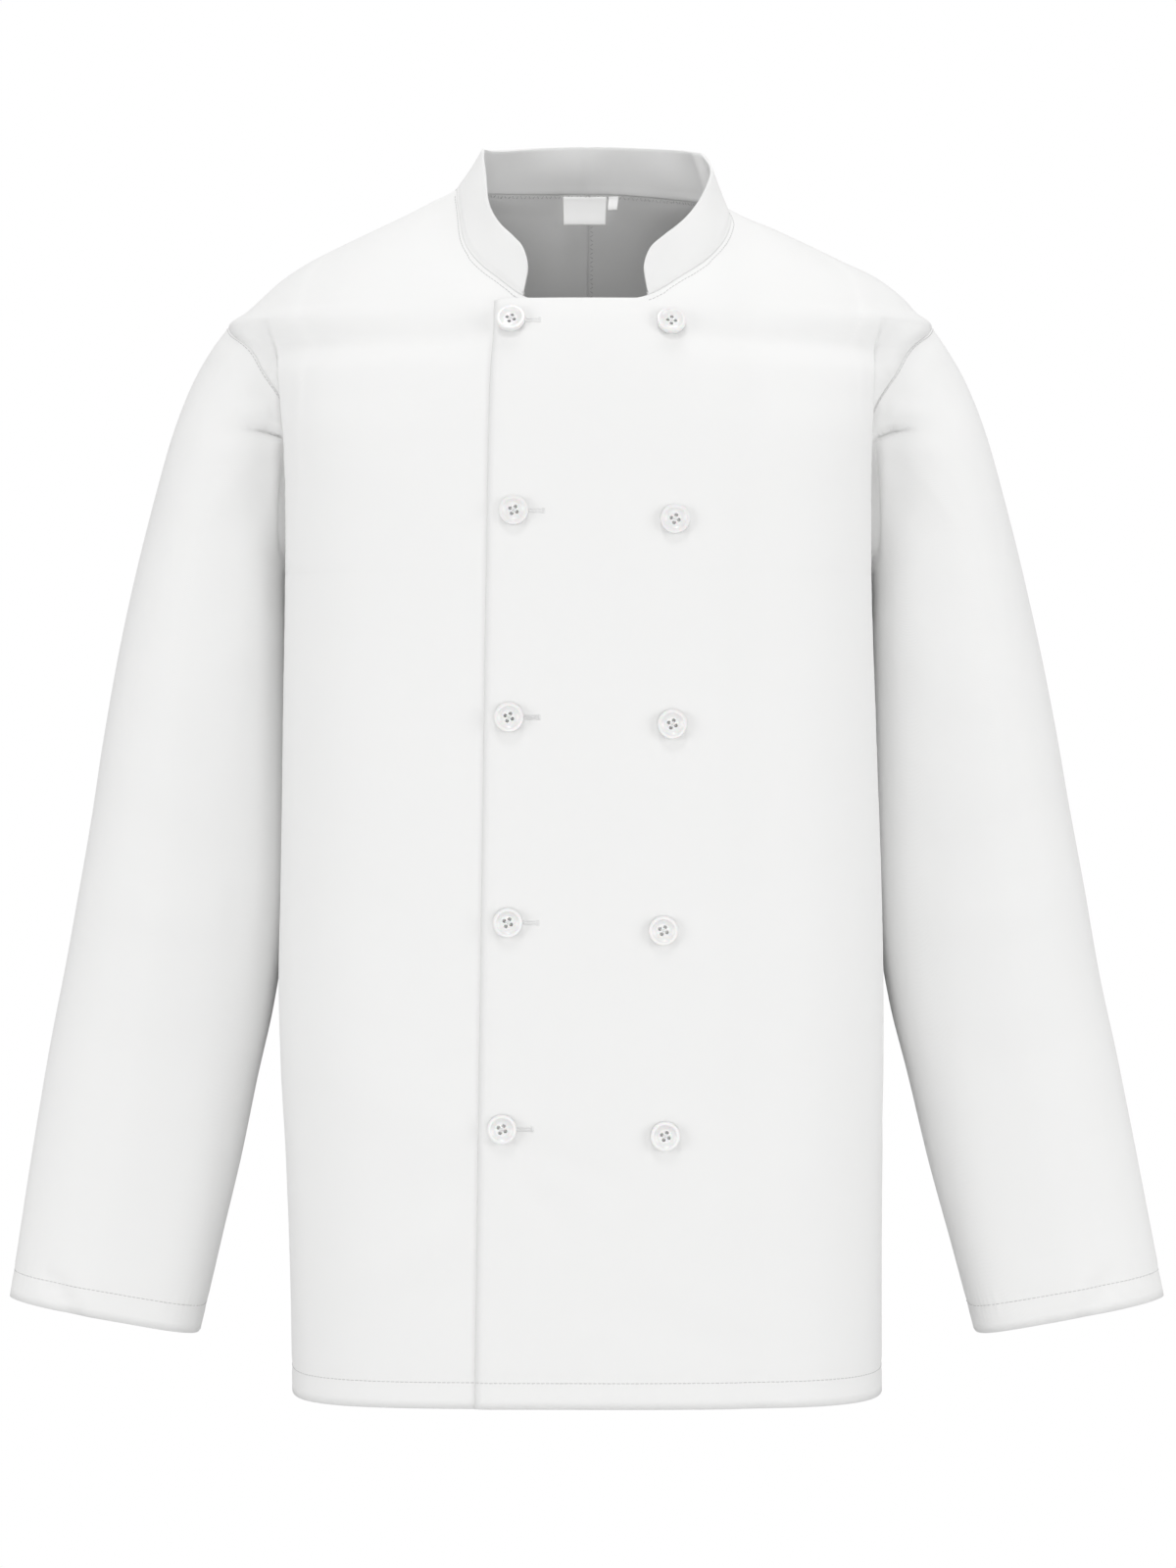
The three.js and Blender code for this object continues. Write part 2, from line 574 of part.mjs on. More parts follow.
function add(name, geometry, material) {
  const mesh = new THREE.Mesh(geometry, material);
  mesh.name = name;
  jacket.add(mesh);
  return mesh;
}

const sleeves = { sleeve_left: sleeveGrid(1), sleeve_right: sleeveGrid(-1) };
const collar = collarGrid();

for (const [name, panel] of Object.entries(panels)) {
  const { grid } = panel;
  const end = grid[0].length - 1;
  const sideEdge = grid.slice(0, ROWS_BELOW + 1);
  drawIn(sideEdge.map((row) => row[end]), sideEdge.map((row) => row[end - 1]), SEAM_GAP / 2);
  const top = grid.length - 1;
  const onShoulder = panel.columns.map((column, i) => i).filter((i) => panel.columns[i].share > 0);
  drawIn(onShoulder.map((i) => grid[top][i]), onShoulder.map((i) => grid[top - 1][i]), SEAM_GAP / 2);
  if (panel.face < 0) drawIn(grid.map((row) => row[0]), grid.map((row) => row[1]), SEAM_GAP / 2);
  add(name, wall(grid, CLOTH, false), WHITE_CLOTH);
}
for (const [name, grid] of Object.entries(sleeves)) add(name, wall(grid, CLOTH, true), WHITE_CLOTH);
add("collar", wall(collar, COLLAR_CLOTH, false), WHITE_CLOTH);
add("label", wall(insidePatch(LABEL), LABEL_CLOTH, false), LABEL_WEAVE);
add("size_tab", wall(insidePatch(SIZE_TAB), LABEL_CLOTH, false), LABEL_WEAVE);

const button = buttonGeometry();
BUTTON_ROWS.forEach((row, i) => {
  const through = add(`button_through_${i + 1}`, button, BUTTON_PLASTIC);
  placeButton(through, row.throughX, row.z, row.throughTurn, row.stand);
  const sewn = add(`button_sewn_${i + 1}`, button, BUTTON_PLASTIC);
  placeButton(sewn, row.sewnX, row.z - row.drop, row.sewnTurn, row.stand);
});

export default jacket;
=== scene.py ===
"""White double-breasted chef jacket, filled out as worn with no wearer, in a plain pale studio.

The cloth is made as thin shells on the jacket's own form, in millimetres, and brought to metres
when a mesh is made. Left and right in the pieces' names are the wearer's.
"""

import logging
import math
from dataclasses import dataclass, field
from enum import Enum

import bpy
import numpy as np
from mathutils import Matrix, Vector

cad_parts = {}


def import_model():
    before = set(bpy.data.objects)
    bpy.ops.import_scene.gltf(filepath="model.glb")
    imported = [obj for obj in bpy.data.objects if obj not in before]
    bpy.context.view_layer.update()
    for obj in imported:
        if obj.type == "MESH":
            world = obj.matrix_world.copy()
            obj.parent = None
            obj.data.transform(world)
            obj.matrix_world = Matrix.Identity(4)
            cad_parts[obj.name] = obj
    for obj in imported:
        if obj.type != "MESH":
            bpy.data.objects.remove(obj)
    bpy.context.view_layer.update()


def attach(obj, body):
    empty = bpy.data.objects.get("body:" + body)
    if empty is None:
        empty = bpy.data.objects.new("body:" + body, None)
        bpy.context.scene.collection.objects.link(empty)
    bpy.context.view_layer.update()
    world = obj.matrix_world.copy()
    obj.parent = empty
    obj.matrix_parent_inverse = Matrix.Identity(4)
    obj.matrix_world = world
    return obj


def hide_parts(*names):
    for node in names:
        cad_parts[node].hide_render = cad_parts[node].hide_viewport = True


log = logging.getLogger("chef jacket")

MM = 0.001
UV_NAME = "cloth"
WAVE_REPEAT = 0.314159  # how far apart the bands of a wave texture of scale 1 are


class Face(Enum):
    """Front or back of the body."""

    FRONT = 1
    BACK = -1


class Side(Enum):
    """Side of the garment, by the sign of X: the wearer's left is the viewer's right."""

    LEFT = 1
    RIGHT = -1


# Level sections of the body: z, half the width, lean to the viewer's left, depth in front and
# behind, squareness in front and behind, how far the sleeve presses the side in, the lap fold's
# angle, and how far the cloth between that fold and the armhole comes forward
SECTION_COLUMNS = (
    "z", "half", "lean", "front", "back", "square_front", "square_back", "tuck", "crest", "shelf",
)
SECTIONS = (
    (14, 71, 7, 3, 54, 2, 2, 0, 8, 0),
    (5, 77, 8, 7, 60, 2, 2, 0, 8, 0),
    (-4, 90, 12, 16.5, 65, 2, 2, 0, 8, 0),
    (-22, 130, 8, 34.5, 71, 2, 2, 0, 8, 0),
    (-41, 169, 7.5, 55.5, 77, 2, 2, 0, 8, 0),
    (-54, 192.5, 4.5, 69.5, 81, 2, 2, 0, 8, 0),
    (-67, 208.2, 3.5, 83, 85, 2, 2, 0, 11, 0),
    (-76, 217.2, 4.3, 91.5, 87.5, 2, 2, 0.3, 12.3, 1),
    (-85, 228.4, 5, 98.5, 90, 2, 2.1, 1, 13.3, 3),
    (-90, 228.6, 5.2, 101.8, 91.4, 2, 2.1, 2.4, 14.2, 9),
    (-100, 224, 5.5, 107, 94, 2, 2.2, 5, 14.8, 19),
    (-120, 216, 5.5, 115, 98, 2.6, 2.4, 9, 19.5, 17),
    (-140, 205, 5.5, 121, 102, 3.2, 2.6, 12, 21.5, 13),
    (-165, 195, 5.5, 126.5, 106, 4, 2.8, 14, 23, 5),
    (-200, 191.3, 5.5, 131, 109, 4.2, 2.9, 14, 23, 0),
    (-250, 190, 5.5, 135, 111, 4.3, 3, 13, 23, 0),
    (-350, 191, 4.8, 139, 110, 4.3, 3, 12, 22, 0),
    (-450, 192.8, 3.9, 141, 108, 4.3, 3, 10, 21, 0),
    (-505, 193.3, 4.1, 142.5, 108, 4.3, 3, 8, 20, 0),
    (-560, 192.4, 3.4, 144, 109, 4.3, 3, 3, 20, 0),
    (-620, 189.6, 2.4, 145, 111, 4.4, 3, 0, 20, 0),
    (-700, 187.8, 1.2, 146, 114, 4.5, 3, 0, 20, 0),
    (-764, 187.2, 0.6, 146.5, 117, 4.6, 3, 0, 20, 0),
)

# Sleeve rings from the armhole to the cuff: outer and inner points, depths of the front and
# back, squareness, and what is left of the armhole's own shape
RING_COLUMNS = ("ring", "out_x", "out_z", "in_x", "in_z", "front_y", "back_y", "square", "fade")
RINGS = (
    (0, 228, -85, 179, -250, -52, 80, 2, 1),
    (1, 237.5, -98, 182, -246.5, -56, 83, 2, 0.8),
    (2, 250, -120, 185.5, -246.5, -61, 87, 2.1, 0.5),
    (3, 262, -152, 188, -251, -66, 90, 2.4, 0.2),
    (4, 274, -197, 188, -264, -68, 92, 2.8, 0),
    (5, 286.5, -248, 187.5, -288, -68, 92, 3, 0),
    (6, 297.5, -298, 187.5, -325, -66.5, 88, 3, 0),
    (7, 307, -349, 188, -371, -64, 80, 3, 0),
    (8, 315.5, -400, 189, -419, -61, 70, 2.8, 0),
    (9, 324.5, -451, 192, -470, -58, 59, 2.7, 0),
    (10, 333.5, -502, 199.5, -521, -56, 50, 2.5, 0),
    (11, 343.5, -552, 211, -571, -55, 41, 2.4, 0),
    (12, 352.5, -603, 222, -622, -55, 32, 2.3, 0),
    (13, 361, -654, 235, -674, -55, 22, 2.3, 0),
    (14, 370, -709, 249, -731, -56, 12, 2.3, 0),
)

# Collar, by the way round from its end on the wearer's right front to the other end
COLLAR_COLUMNS = ("way", "height", "lean")
COLLAR_STATIONS = (
    (0, 31, 20),
    (0.14, 31, 30),
    (0.3, 31, 35),
    (0.5, 31, 15),
    (0.7, 34, 17),
    (0.86, 32, 29),
    (1, 31, 20),
)

# Rows of buttons on the outer front: height of the buttoned one, how much lower the sewn one
# hangs, x of both, turn of both, and how far they stand off the cloth
BUTTON_ROWS = (
    (-93.5, 1.2, -48.7, 53.0, 18, 45, 0.35),
    (-213.0, 5.4, -45.8, 53.6, 15, 30, 0.15),
    (-340.2, 4.2, -48.6, 51.7, 20, 24, 0.15),
    (-466.2, 4.8, -49.2, 46.2, 17, 20, 0.15),
    (-592.5, 4.2, -52.7, 47.3, 16, 22, 0.15),
)


# Studio lamps: name, place and width in metres, power in watts
LAMPS = (
    ("front", (0.2, -3.3, -0.8), 1.2, 16.5),
    ("left", (-2.6, -1.7, -0.1), 1.5, 25.0),
    ("right", (2.6, -1.7, 0.0), 1.5, 26.5),
    ("top", (-0.2, -1.5, 2.6), 0.7, 18.0),
    ("behind", (0.2, 0.7, 2.7), 1.4, 30.0),
)


def smooth(value: np.ndarray | float, low: float, high: float) -> np.ndarray:
    """Eases from 0 to 1.

    Args:
        value: Where to read the ease.
        low: The value at which it is still 0.
        high: The value at which it is 1.

    Returns:
        The ease, of the value's own shape.
    """
    t = np.clip((np.asarray(value, dtype=float) - low) / (high - low), 0.0, 1.0)
    return t * t * (3 - 2 * t)


def bell(distance: np.ndarray, height: float, reach: float) -> np.ndarray:
    """Gives a height that fades with distance, to a third of it at the reach."""
    return height * np.exp(-((distance / reach) ** 2))


def unit(vectors: np.ndarray) -> np.ndarray:
    """Brings vectors along the last axis to length 1."""
    length = np.linalg.norm(vectors, axis=-1, keepdims=True)
    return vectors / np.maximum(length, 1e-9)


class Table:
    """A short table whose columns are read smoothly between its rows, with no overshoot."""

    def __init__(self, columns: tuple[str, ...], rows: tuple[tuple[float, ...], ...]) -> None:
        """Sorts the rows by their first column.

        Args:
            columns: The columns' names, the key first.
            rows: One tuple of numbers for each row.
        """
        data = np.array(sorted(rows), dtype=float)
        self.places = data[:, 0]
        self.values = {name: data[:, i] for i, name in enumerate(columns)}
        self.slopes = {name: self.tangents(self.values[name]) for name in columns}

    def tangents(self, values: np.ndarray) -> np.ndarray:
        """Works out each row's slope in one column."""
        steps = np.diff(values) / np.diff(self.places)
        inner = np.zeros(len(values))
        before, after = steps[:-1], steps[1:]
        same = before * after > 0
        total = np.where(same, before + after, 1.0)
        inner[1:-1] = np.where(same, 2 * before * after / total, 0.0)
        inner[0], inner[-1] = steps[0], steps[-1]
        return inner

    def at(self, column: str, place: np.ndarray | float) -> np.ndarray:
        """Reads a column.

        Args:
            column: The column's name.
            place: Where to read it, in the key's own unit.

        Returns:
            The values there.
        """
        keys, values, slopes = self.places, self.values[column], self.slopes[column]
        place = np.clip(np.asarray(place, dtype=float), keys[0], keys[-1])
        i = np.clip(np.searchsorted(keys, place, side="right") - 1, 0, len(keys) - 2)
        step = keys[i + 1] - keys[i]
        t = (place - keys[i]) / step
        rest = 1 - t
        ends = values[i] * (1 + 2 * t) * rest**2 + values[i + 1] * t**2 * (3 - 2 * t)
        return ends + step * (slopes[i] * t * rest**2 - slopes[i + 1] * t**2 * rest)


@dataclass(frozen=True)
class Crease:
    """A soft trough or ridge in the cloth, along a line in the front or back view.

    Positive depth stands out. reach is the half width. taper is what is left of the depth at
    the line's far end.
    """

    face: Face
    start: tuple[float, float]
    end: tuple[float, float]
    depth: float
    reach: float
    taper: float = 0.4

    def height(self, points: np.ndarray) -> np.ndarray:
        """Works out how far the cloth moves.

        Args:
            points: Points of the cloth, in millimetres.

        Returns:
            The move along the outward direction, in millimetres.
        """
        start = np.array(self.start)
        line = np.array(self.end) - start
        place = points[..., (0, 2)] - start
        t = np.clip(place @ line / (line @ line), 0.0, 1.0)
        away = np.linalg.norm(place - t[..., None] * line, axis=-1)
        swell = np.sqrt(np.clip(4 * t * (1 - t) + 0.15, 0.0, 1.0))
        return swell * (1 - (1 - self.taper) * t) * bell(away, self.depth, self.reach)


@dataclass
class JacketForm:
    """The jacket's surface, worked out from its sections and a few driving sizes."""

    mid_y: float = 5.0
    hem_z: float = -764.0
    underarm_z: float = -250.0
    shoulder_tip_z: float = -85.0
    front_neck_z: float = -79.0
    back_neck_z: float = 10.0
    underlap_drop: float = 2.0
    wrap_top: float = 60.5
    wrap_hem: float = 69.5
    wrap_lift: float = 3.0
    edge_lift: float = 1.0
    edge_roll: float = 9.0
    lift_to: float = 76.0
    lift_from: float = 108.0
    fold_width: float = 1.9
    crest_left_more: float = 3.0
    shelf_from: float = 0.35
    back_tuck: tuple[float, float] = (24.0, 46.0)
    armhole_reach: dict[Face, float] = field(
        default_factory=lambda: {Face.FRONT: 18.0, Face.BACK: 23.0})
    armhole_taper: dict[Face, float] = field(
        default_factory=lambda: {Face.FRONT: 0.62, Face.BACK: 0.5})
    neck_point_z: dict[Side, float] = field(
        default_factory=lambda: {Side.LEFT: -4.0, Side.RIGHT: 5.0})
    collar_ends: dict[Side, float] = field(
        default_factory=lambda: {Side.LEFT: 68.5, Side.RIGHT: 66.0})
    sections: Table = field(default_factory=lambda: Table(SECTION_COLUMNS, SECTIONS))

    def point(self, side: Side, face: Face, angle: np.ndarray, z: np.ndarray) -> np.ndarray:
        """Finds points of the body's surface.

        Args:
            side: The side from which the angle counts.
            face: Front or back.
            angle: 0 at the side seam, 90 at the middle, and past it on the other side.
            z: Height.

        Returns:
            The points, in millimetres.
        """
        angle, z = np.broadcast_arrays(np.asarray(angle, dtype=float), np.asarray(z, dtype=float))
        across = np.where(angle > 90, -side.value, side.value)
        turned = np.radians(np.where(angle > 90, 180 - angle, angle))
        row = self.sections.at
        half = row("half", z) - across * row("lean", z)
        depth = row("front" if face is Face.FRONT else "back", z)
        power = row("square_front" if face is Face.FRONT else "square_back", z)
        cos, sin = np.cos(turned), np.sin(turned)
        crest = row("crest", z) + np.where(across > 0, self.crest_left_more, 0.0)
        if face is Face.FRONT:
            pressed = 1 - np.clip((np.degrees(turned) - crest) / self.fold_width + 1, 0, 1) ** 2
        else:
            pressed = 1 - smooth(np.degrees(turned), *self.back_tuck)
        radius = (np.abs(cos / half) ** power + np.abs(sin / depth) ** power) ** (-1 / power)
        reach = radius - row("tuck", z) * pressed
        y = self.mid_y - face.value * reach * sin
        if face is Face.FRONT:
            y = y - row("shelf", z) * (1 - smooth(np.degrees(turned) / crest, self.shelf_from, 1))
        return np.stack([across * reach * cos, y, z + 0 * reach], axis=-1)

    def outward(self, side: Side, face: Face, angle: np.ndarray, z: np.ndarray) -> np.ndarray:
        """Finds the surface's outward directions at the same places as point does."""
        step = 0.4
        angle = np.asarray(angle, dtype=float)
        low = np.maximum(angle - step, 0)
        around = self.point(side, face, angle + step, z) - self.point(side, face, low, z)
        around = np.where((angle < step)[..., None], np.array([0.0, -face.value, 0.0]), around)
        up = self.point(side, face, angle, z + step) - self.point(side, face, angle, z - step)
        return unit(np.cross(around, up) * (-side.value * face.value))

    def neck_z(self, side: Side, face: Face, angle: np.ndarray) -> np.ndarray:
        """Finds the neck edge's height above each angle."""
        point = self.neck_point_z[side]
        turned = np.sin(np.radians(np.minimum(angle, 90.0)))
        if face is Face.BACK:
            return point + (self.back_neck_z - point) * turned
        flat = np.minimum(1.0, turned + 0.05 * smooth(angle, 50, 70))
        drop = 0.0 if side is Side.LEFT else self.underlap_drop
        lowest = self.front_neck_z - drop * smooth(angle, 66, 80)
        return point + (lowest - point) * flat

    def wrap_angle(self, z: np.ndarray) -> np.ndarray:
        """Finds the angle at which a front ends past the middle."""
        share = (self.front_neck_z - z) / (self.front_neck_z - self.hem_z)
        past = self.wrap_top + (self.wrap_hem - self.wrap_top) * share
        return 90 + np.degrees(np.arctan(past / self.sections.at("front", z)))

    def armhole_angle(self, face: Face, turn: np.ndarray) -> np.ndarray:
        """Finds the armhole's angle at a turn of its outline, -90 underarm and 90 at the tip."""
        sin = np.sin(np.radians(turn))
        taper = 1 - self.armhole_taper[face] * np.maximum(0, sin) ** 2
        return self.armhole_reach[face] * np.cos(np.radians(turn)) * taper

    def lift(self, x: np.ndarray, edge_x: np.ndarray) -> np.ndarray:
        """Finds how far the outer front stands off the underlap.

        Args:
            x: Places across the front.
            edge_x: Where the front ends at the same heights.

        Returns:
            The lift, less along the free edge, which rolls in to the underlap.
        """
        full = self.wrap_lift * (1 - smooth(x, self.lift_to, self.lift_from))
        roll = (self.wrap_lift - self.edge_lift) * (1 - smooth(x - edge_x, 0, self.edge_roll)) ** 2
        return full - roll


@dataclass
class PanelColumns:
    """Where a panel's columns end at its top edge, from its middle edge to its side edge."""

    past: np.ndarray
    neck: np.ndarray
    share: np.ndarray
    low: np.ndarray


@dataclass
class Panel:
    """One front or back panel as a fine grid of points, rows from the hem up."""

    form: JacketForm
    side: Side
    face: Face
    rows_below: int = 96
    rows_above: int = 116
    neck_columns: int = 40
    shoulder_columns: int = 74
    fold_zone: tuple[float, float] = (29.0, 17.0)
    fold_shares: tuple[float, float] = (0.42, 0.76)
    wrap_columns: int = 16
    points: np.ndarray = field(init=False)
    out: np.ndarray = field(init=False)
    columns: PanelColumns = field(init=False)
    turns: np.ndarray = field(init=False)

    def __post_init__(self) -> None:
        """Works out the grid."""
        self.columns = self.make_columns()
        angle, z = self.places()
        self.points = self.form.point(self.side, self.face, angle, z)
        self.out = self.form.outward(self.side, self.face, angle, z)
        if self.side is Side.LEFT and self.face is Face.FRONT:
            edge = self.points[:, :1, 0]
            lift = self.form.lift(self.points[..., 0], edge)
            self.points = self.points + self.out * lift[..., None]

    def make_columns(self) -> PanelColumns:
        """Lays out the columns.

        Returns:
            Each column's share past the middle, angle on the neck edge, share along the
            shoulder seam, and angle at the underarm.
        """
        wrapped = self.wrap_columns if self.face is Face.FRONT else 0
        wrap = np.linspace(1, 0, wrapped, endpoint=False)
        neck = np.linspace(90, 0, self.neck_columns + 1)
        shoulder = np.linspace(0, 1, self.shoulder_columns + 1)[1:]
        past = np.concatenate([wrap, 0 * neck, 0 * shoulder])
        share = np.concatenate([0 * wrap, 0 * neck, shoulder])
        spread = np.linspace(0, 1, len(neck) + len(shoulder))
        inner = np.interp(spread, [0, *self.fold_shares, 1], [90, *self.fold_zone, 0])
        middle = np.full(len(wrap), 90.0)
        top = np.concatenate([middle, neck, 0 * shoulder])
        return PanelColumns(past, top, share, np.concatenate([middle, inner]))

    def neck_edge(self, limit: float = 90.0) -> np.ndarray:
        """Lists the columns that end on the neck edge, as far as an angle towards the middle."""
        columns = self.columns
        return np.flatnonzero((columns.past == 0) & (columns.share == 0) & (columns.neck <= limit))

    def places(self) -> tuple[np.ndarray, np.ndarray]:
        """Works out each grid point's angle and height."""
        form, columns = self.form, self.columns
        top = form.neck_z(self.side, self.face, columns.neck)
        top = top + (form.shoulder_tip_z - top) * columns.share
        z_low = np.linspace(form.hem_z, form.underarm_z, self.rows_below + 1)
        self.turns = np.linspace(-90, 90, self.rows_above + 1)[1:]
        share = ((1 + np.sin(np.radians(self.turns))) / 2)[:, None]
        z = np.vstack([
            np.repeat(z_low[:, None], len(top), axis=1),
            form.underarm_z + (top[None, :] - form.underarm_z) * share,
        ])
        edge = form.armhole_angle(self.face, self.turns)[:, None]
        spread = (columns.low + (columns.neck - columns.low) * share) / 90
        angle = np.vstack([
            np.repeat(columns.low[None, :], len(z_low), axis=0),
            edge + (90 - edge) * spread,
        ])
        wrap = 90 + (form.wrap_angle(z) - 90) * columns.past
        return np.where(columns.past > 0, wrap, angle), z


class ClothMesh:
    """Turns grids of points in millimetres into smooth shells in metres."""

    @staticmethod
    def normals(points: np.ndarray, ring: bool, hint: np.ndarray) -> np.ndarray:
        """Finds a grid's directions on the side that the hint points to.

        Args:
            points: The grid, rows by columns by 3.
            ring: Whether its rows close on themselves.
            hint: Rough outward directions of the same shape.

        Returns:
            Unit directions.
        """
        if ring:
            around = np.roll(points, -1, axis=1) - np.roll(points, 1, axis=1)
        else:
            around = np.gradient(points, axis=1)
        along = np.gradient(points, axis=0)
        out = unit(np.cross(around, along))
        sign = np.sign(np.sum(out * hint))
        return out * (sign if sign else 1.0)

    @staticmethod
    def lengths(points: np.ndarray, axis: int) -> np.ndarray:
        """Measures how far each grid point lies along its own row (axis 1) or column (axis 0)."""
        steps = np.cumsum(np.linalg.norm(np.diff(points, axis=axis), axis=-1), axis=axis)
        return np.insert(steps, 0, 0, axis=axis)

    @staticmethod
    def make(name: str, points: np.ndarray, ring: bool, hint: np.ndarray,
             thick: float) -> bpy.types.Object:
        """Makes a shell with a UV map in metres along its rows and columns.

        Args:
            name: The object's name.
            points: The grid, rows by columns by 3, in millimetres.
            ring: Whether its rows close on themselves.
            hint: Rough outward directions of the same shape.
            thick: The shell's thickness, in millimetres.

        Returns:
            The finished object.
        """
        rows, columns = points.shape[:2]
        across = columns if ring else columns - 1
        i, j = np.meshgrid(np.arange(rows - 1), np.arange(across), indexing="ij")
        corner_i = np.stack([i, i, i + 1, i + 1], -1)
        corner_j = np.stack([j, j + 1, j + 1, j], -1)
        closed = np.concatenate([points, points[:, :1]], axis=1)
        uv = np.stack([ClothMesh.lengths(closed, axis)[corner_i, corner_j] for axis in (1, 0)], -1) * MM
        quads, uv = (corner_i * columns + corner_j % columns).reshape(-1, 4), uv.reshape(-1, 4, 2)
        row, column = rows // 2, columns // 2
        corner = points[row, column]
        ahead, above = points[row, (column + 1) % columns] - corner, points[row + 1, column] - corner
        if np.dot(np.cross(ahead, above), hint[row, column]) < 0:
            quads, uv = quads[:, ::-1], uv[:, ::-1]
        mesh = bpy.data.meshes.new(name)
        mesh.from_pydata((points.reshape(-1, 3) * MM).tolist(), [], quads.tolist())
        layer = mesh.uv_layers.new(name=UV_NAME)
        layer.data.foreach_set("uv", uv.reshape(-1).astype(np.float32))
        mesh.polygons.foreach_set("use_smooth", np.ones(len(mesh.polygons), dtype=bool))
        mesh.validate()
        piece = bpy.data.objects.new(name, mesh)
        bpy.context.scene.collection.objects.link(piece)
        solid = piece.modifiers.new("wall", "SOLIDIFY")
        solid.thickness = thick * MM
        solid.offset = 0
        Bench.apply(piece, solid.name)
        return piece


class Bench:
    """Small workbench steps that every new piece needs."""

    @staticmethod
    def clear_selection() -> None:
        """Deselects everything."""
        for other in bpy.context.selected_objects:
            other.select_set(False)

    @staticmethod
    def pick(piece: bpy.types.Object) -> None:
        """Selects one object alone and makes it active."""
        Bench.clear_selection()
        piece.select_set(True)
        bpy.context.view_layer.objects.active = piece

    @staticmethod
    def apply(piece: bpy.types.Object, modifier: str) -> None:
        """Applies a modifier by its name."""
        Bench.pick(piece)
        bpy.ops.object.modifier_apply(modifier=modifier)

    @staticmethod
    def settle(piece: bpy.types.Object) -> None:
        """Puts an object's place into its mesh."""
        Bench.pick(piece)
        bpy.ops.object.transform_apply(location=True, rotation=True, scale=True)

    @staticmethod
    def stamp(name: str, pattern: bpy.types.Object, places: list[Matrix]) -> bpy.types.Object:
        """Joins copies of a small pattern into one piece.

        Args:
            name: The new piece's name.
            pattern: The modelled shape, left where it is.
            places: Where each copy goes.

        Returns:
            The joined piece.
        """
        base = np.array([v.co for v in pattern.data.vertices])
        faces = [list(p.vertices) for p in pattern.data.polygons]
        spots, polygons = [], []
        for place in places:
            turn = np.array(place.to_3x3())
            spots.append(base @ turn.T + np.array(place.translation))
            start = len(base) * (len(spots) - 1)
            polygons.extend([[index + start for index in face] for face in faces])
        mesh = bpy.data.meshes.new(name)
        mesh.from_pydata(np.concatenate(spots).tolist(), [], polygons)
        mesh.polygons.foreach_set("use_smooth", np.ones(len(mesh.polygons), dtype=bool))
        mesh.update()
        piece = bpy.data.objects.new(name, mesh)
        bpy.context.scene.collection.objects.link(piece)
        return piece


class NodeMaterial:
    """A node material in the making, with short ways to add and join its nodes."""

    def __init__(self, name: str, sockets: dict[str, object]) -> None:
        """Starts the material.

        Args:
            name: Its name.
            sockets: Values for its shader's sockets, by name.
        """
        self.material = bpy.data.materials.new(name)
        self.material.use_nodes = True
        self.shader = self.material.node_tree.nodes["Principled BSDF"]
        self.fill(self.shader, sockets)

    @staticmethod
    def fill(node: bpy.types.Node, sockets: dict[str, object]) -> None:
        """Writes values on a node's sockets."""
        for socket, value in sockets.items():
            node.inputs[socket].default_value = value

    def add(self, kind: str, sockets: dict[str, object], source: bpy.types.NodeSocket | None = None,
            entry: str = "Vector") -> bpy.types.Node:
        """Adds a node.

        Args:
            kind: Blender's name for the node's type.
            sockets: Values for its sockets, by name.
            source: An output that feeds it, if any.
            entry: The input which that output feeds.

        Returns:
            The node.
        """
        node = self.material.node_tree.nodes.new(kind)
        self.fill(node, sockets)
        if source is not None:
            self.material.node_tree.links.new(source, node.inputs[entry])
        return node

    def on_surface(self) -> bpy.types.NodeSocket:
        """Gives the cloth's own UV map, in metres."""
        place = self.add("ShaderNodeUVMap", {})
        place.uv_map = UV_NAME
        return place.outputs["UV"]

    def on_object(self) -> bpy.types.NodeSocket:
        """Gives the place in the object's own space."""
        return self.add("ShaderNodeTexCoord", {}).outputs["Object"]

    def tint(self, color: tuple[float, float, float], darker: float, source: bpy.types.NodeSocket) -> None:
        """Varies the shader's colour.

        Args:
            color: The full colour.
            darker: What is left of it where the pattern is 0.
            source: The pattern.
        """
        mix = self.material.node_tree.nodes.new("ShaderNodeMix")
        mix.data_type = "RGBA"
        self.fill(mix, {"A": (*[c * darker for c in color], 1), "B": (*color, 1)})
        self.material.node_tree.links.new(source, mix.inputs["Factor"])
        self.feed(mix.outputs["Result"], "Base Color")

    def feed(self, source: bpy.types.NodeSocket, entry: str = "Normal") -> None:
        """Joins an output to one of the shader's inputs."""
        self.material.node_tree.links.new(source, self.shader.inputs[entry])


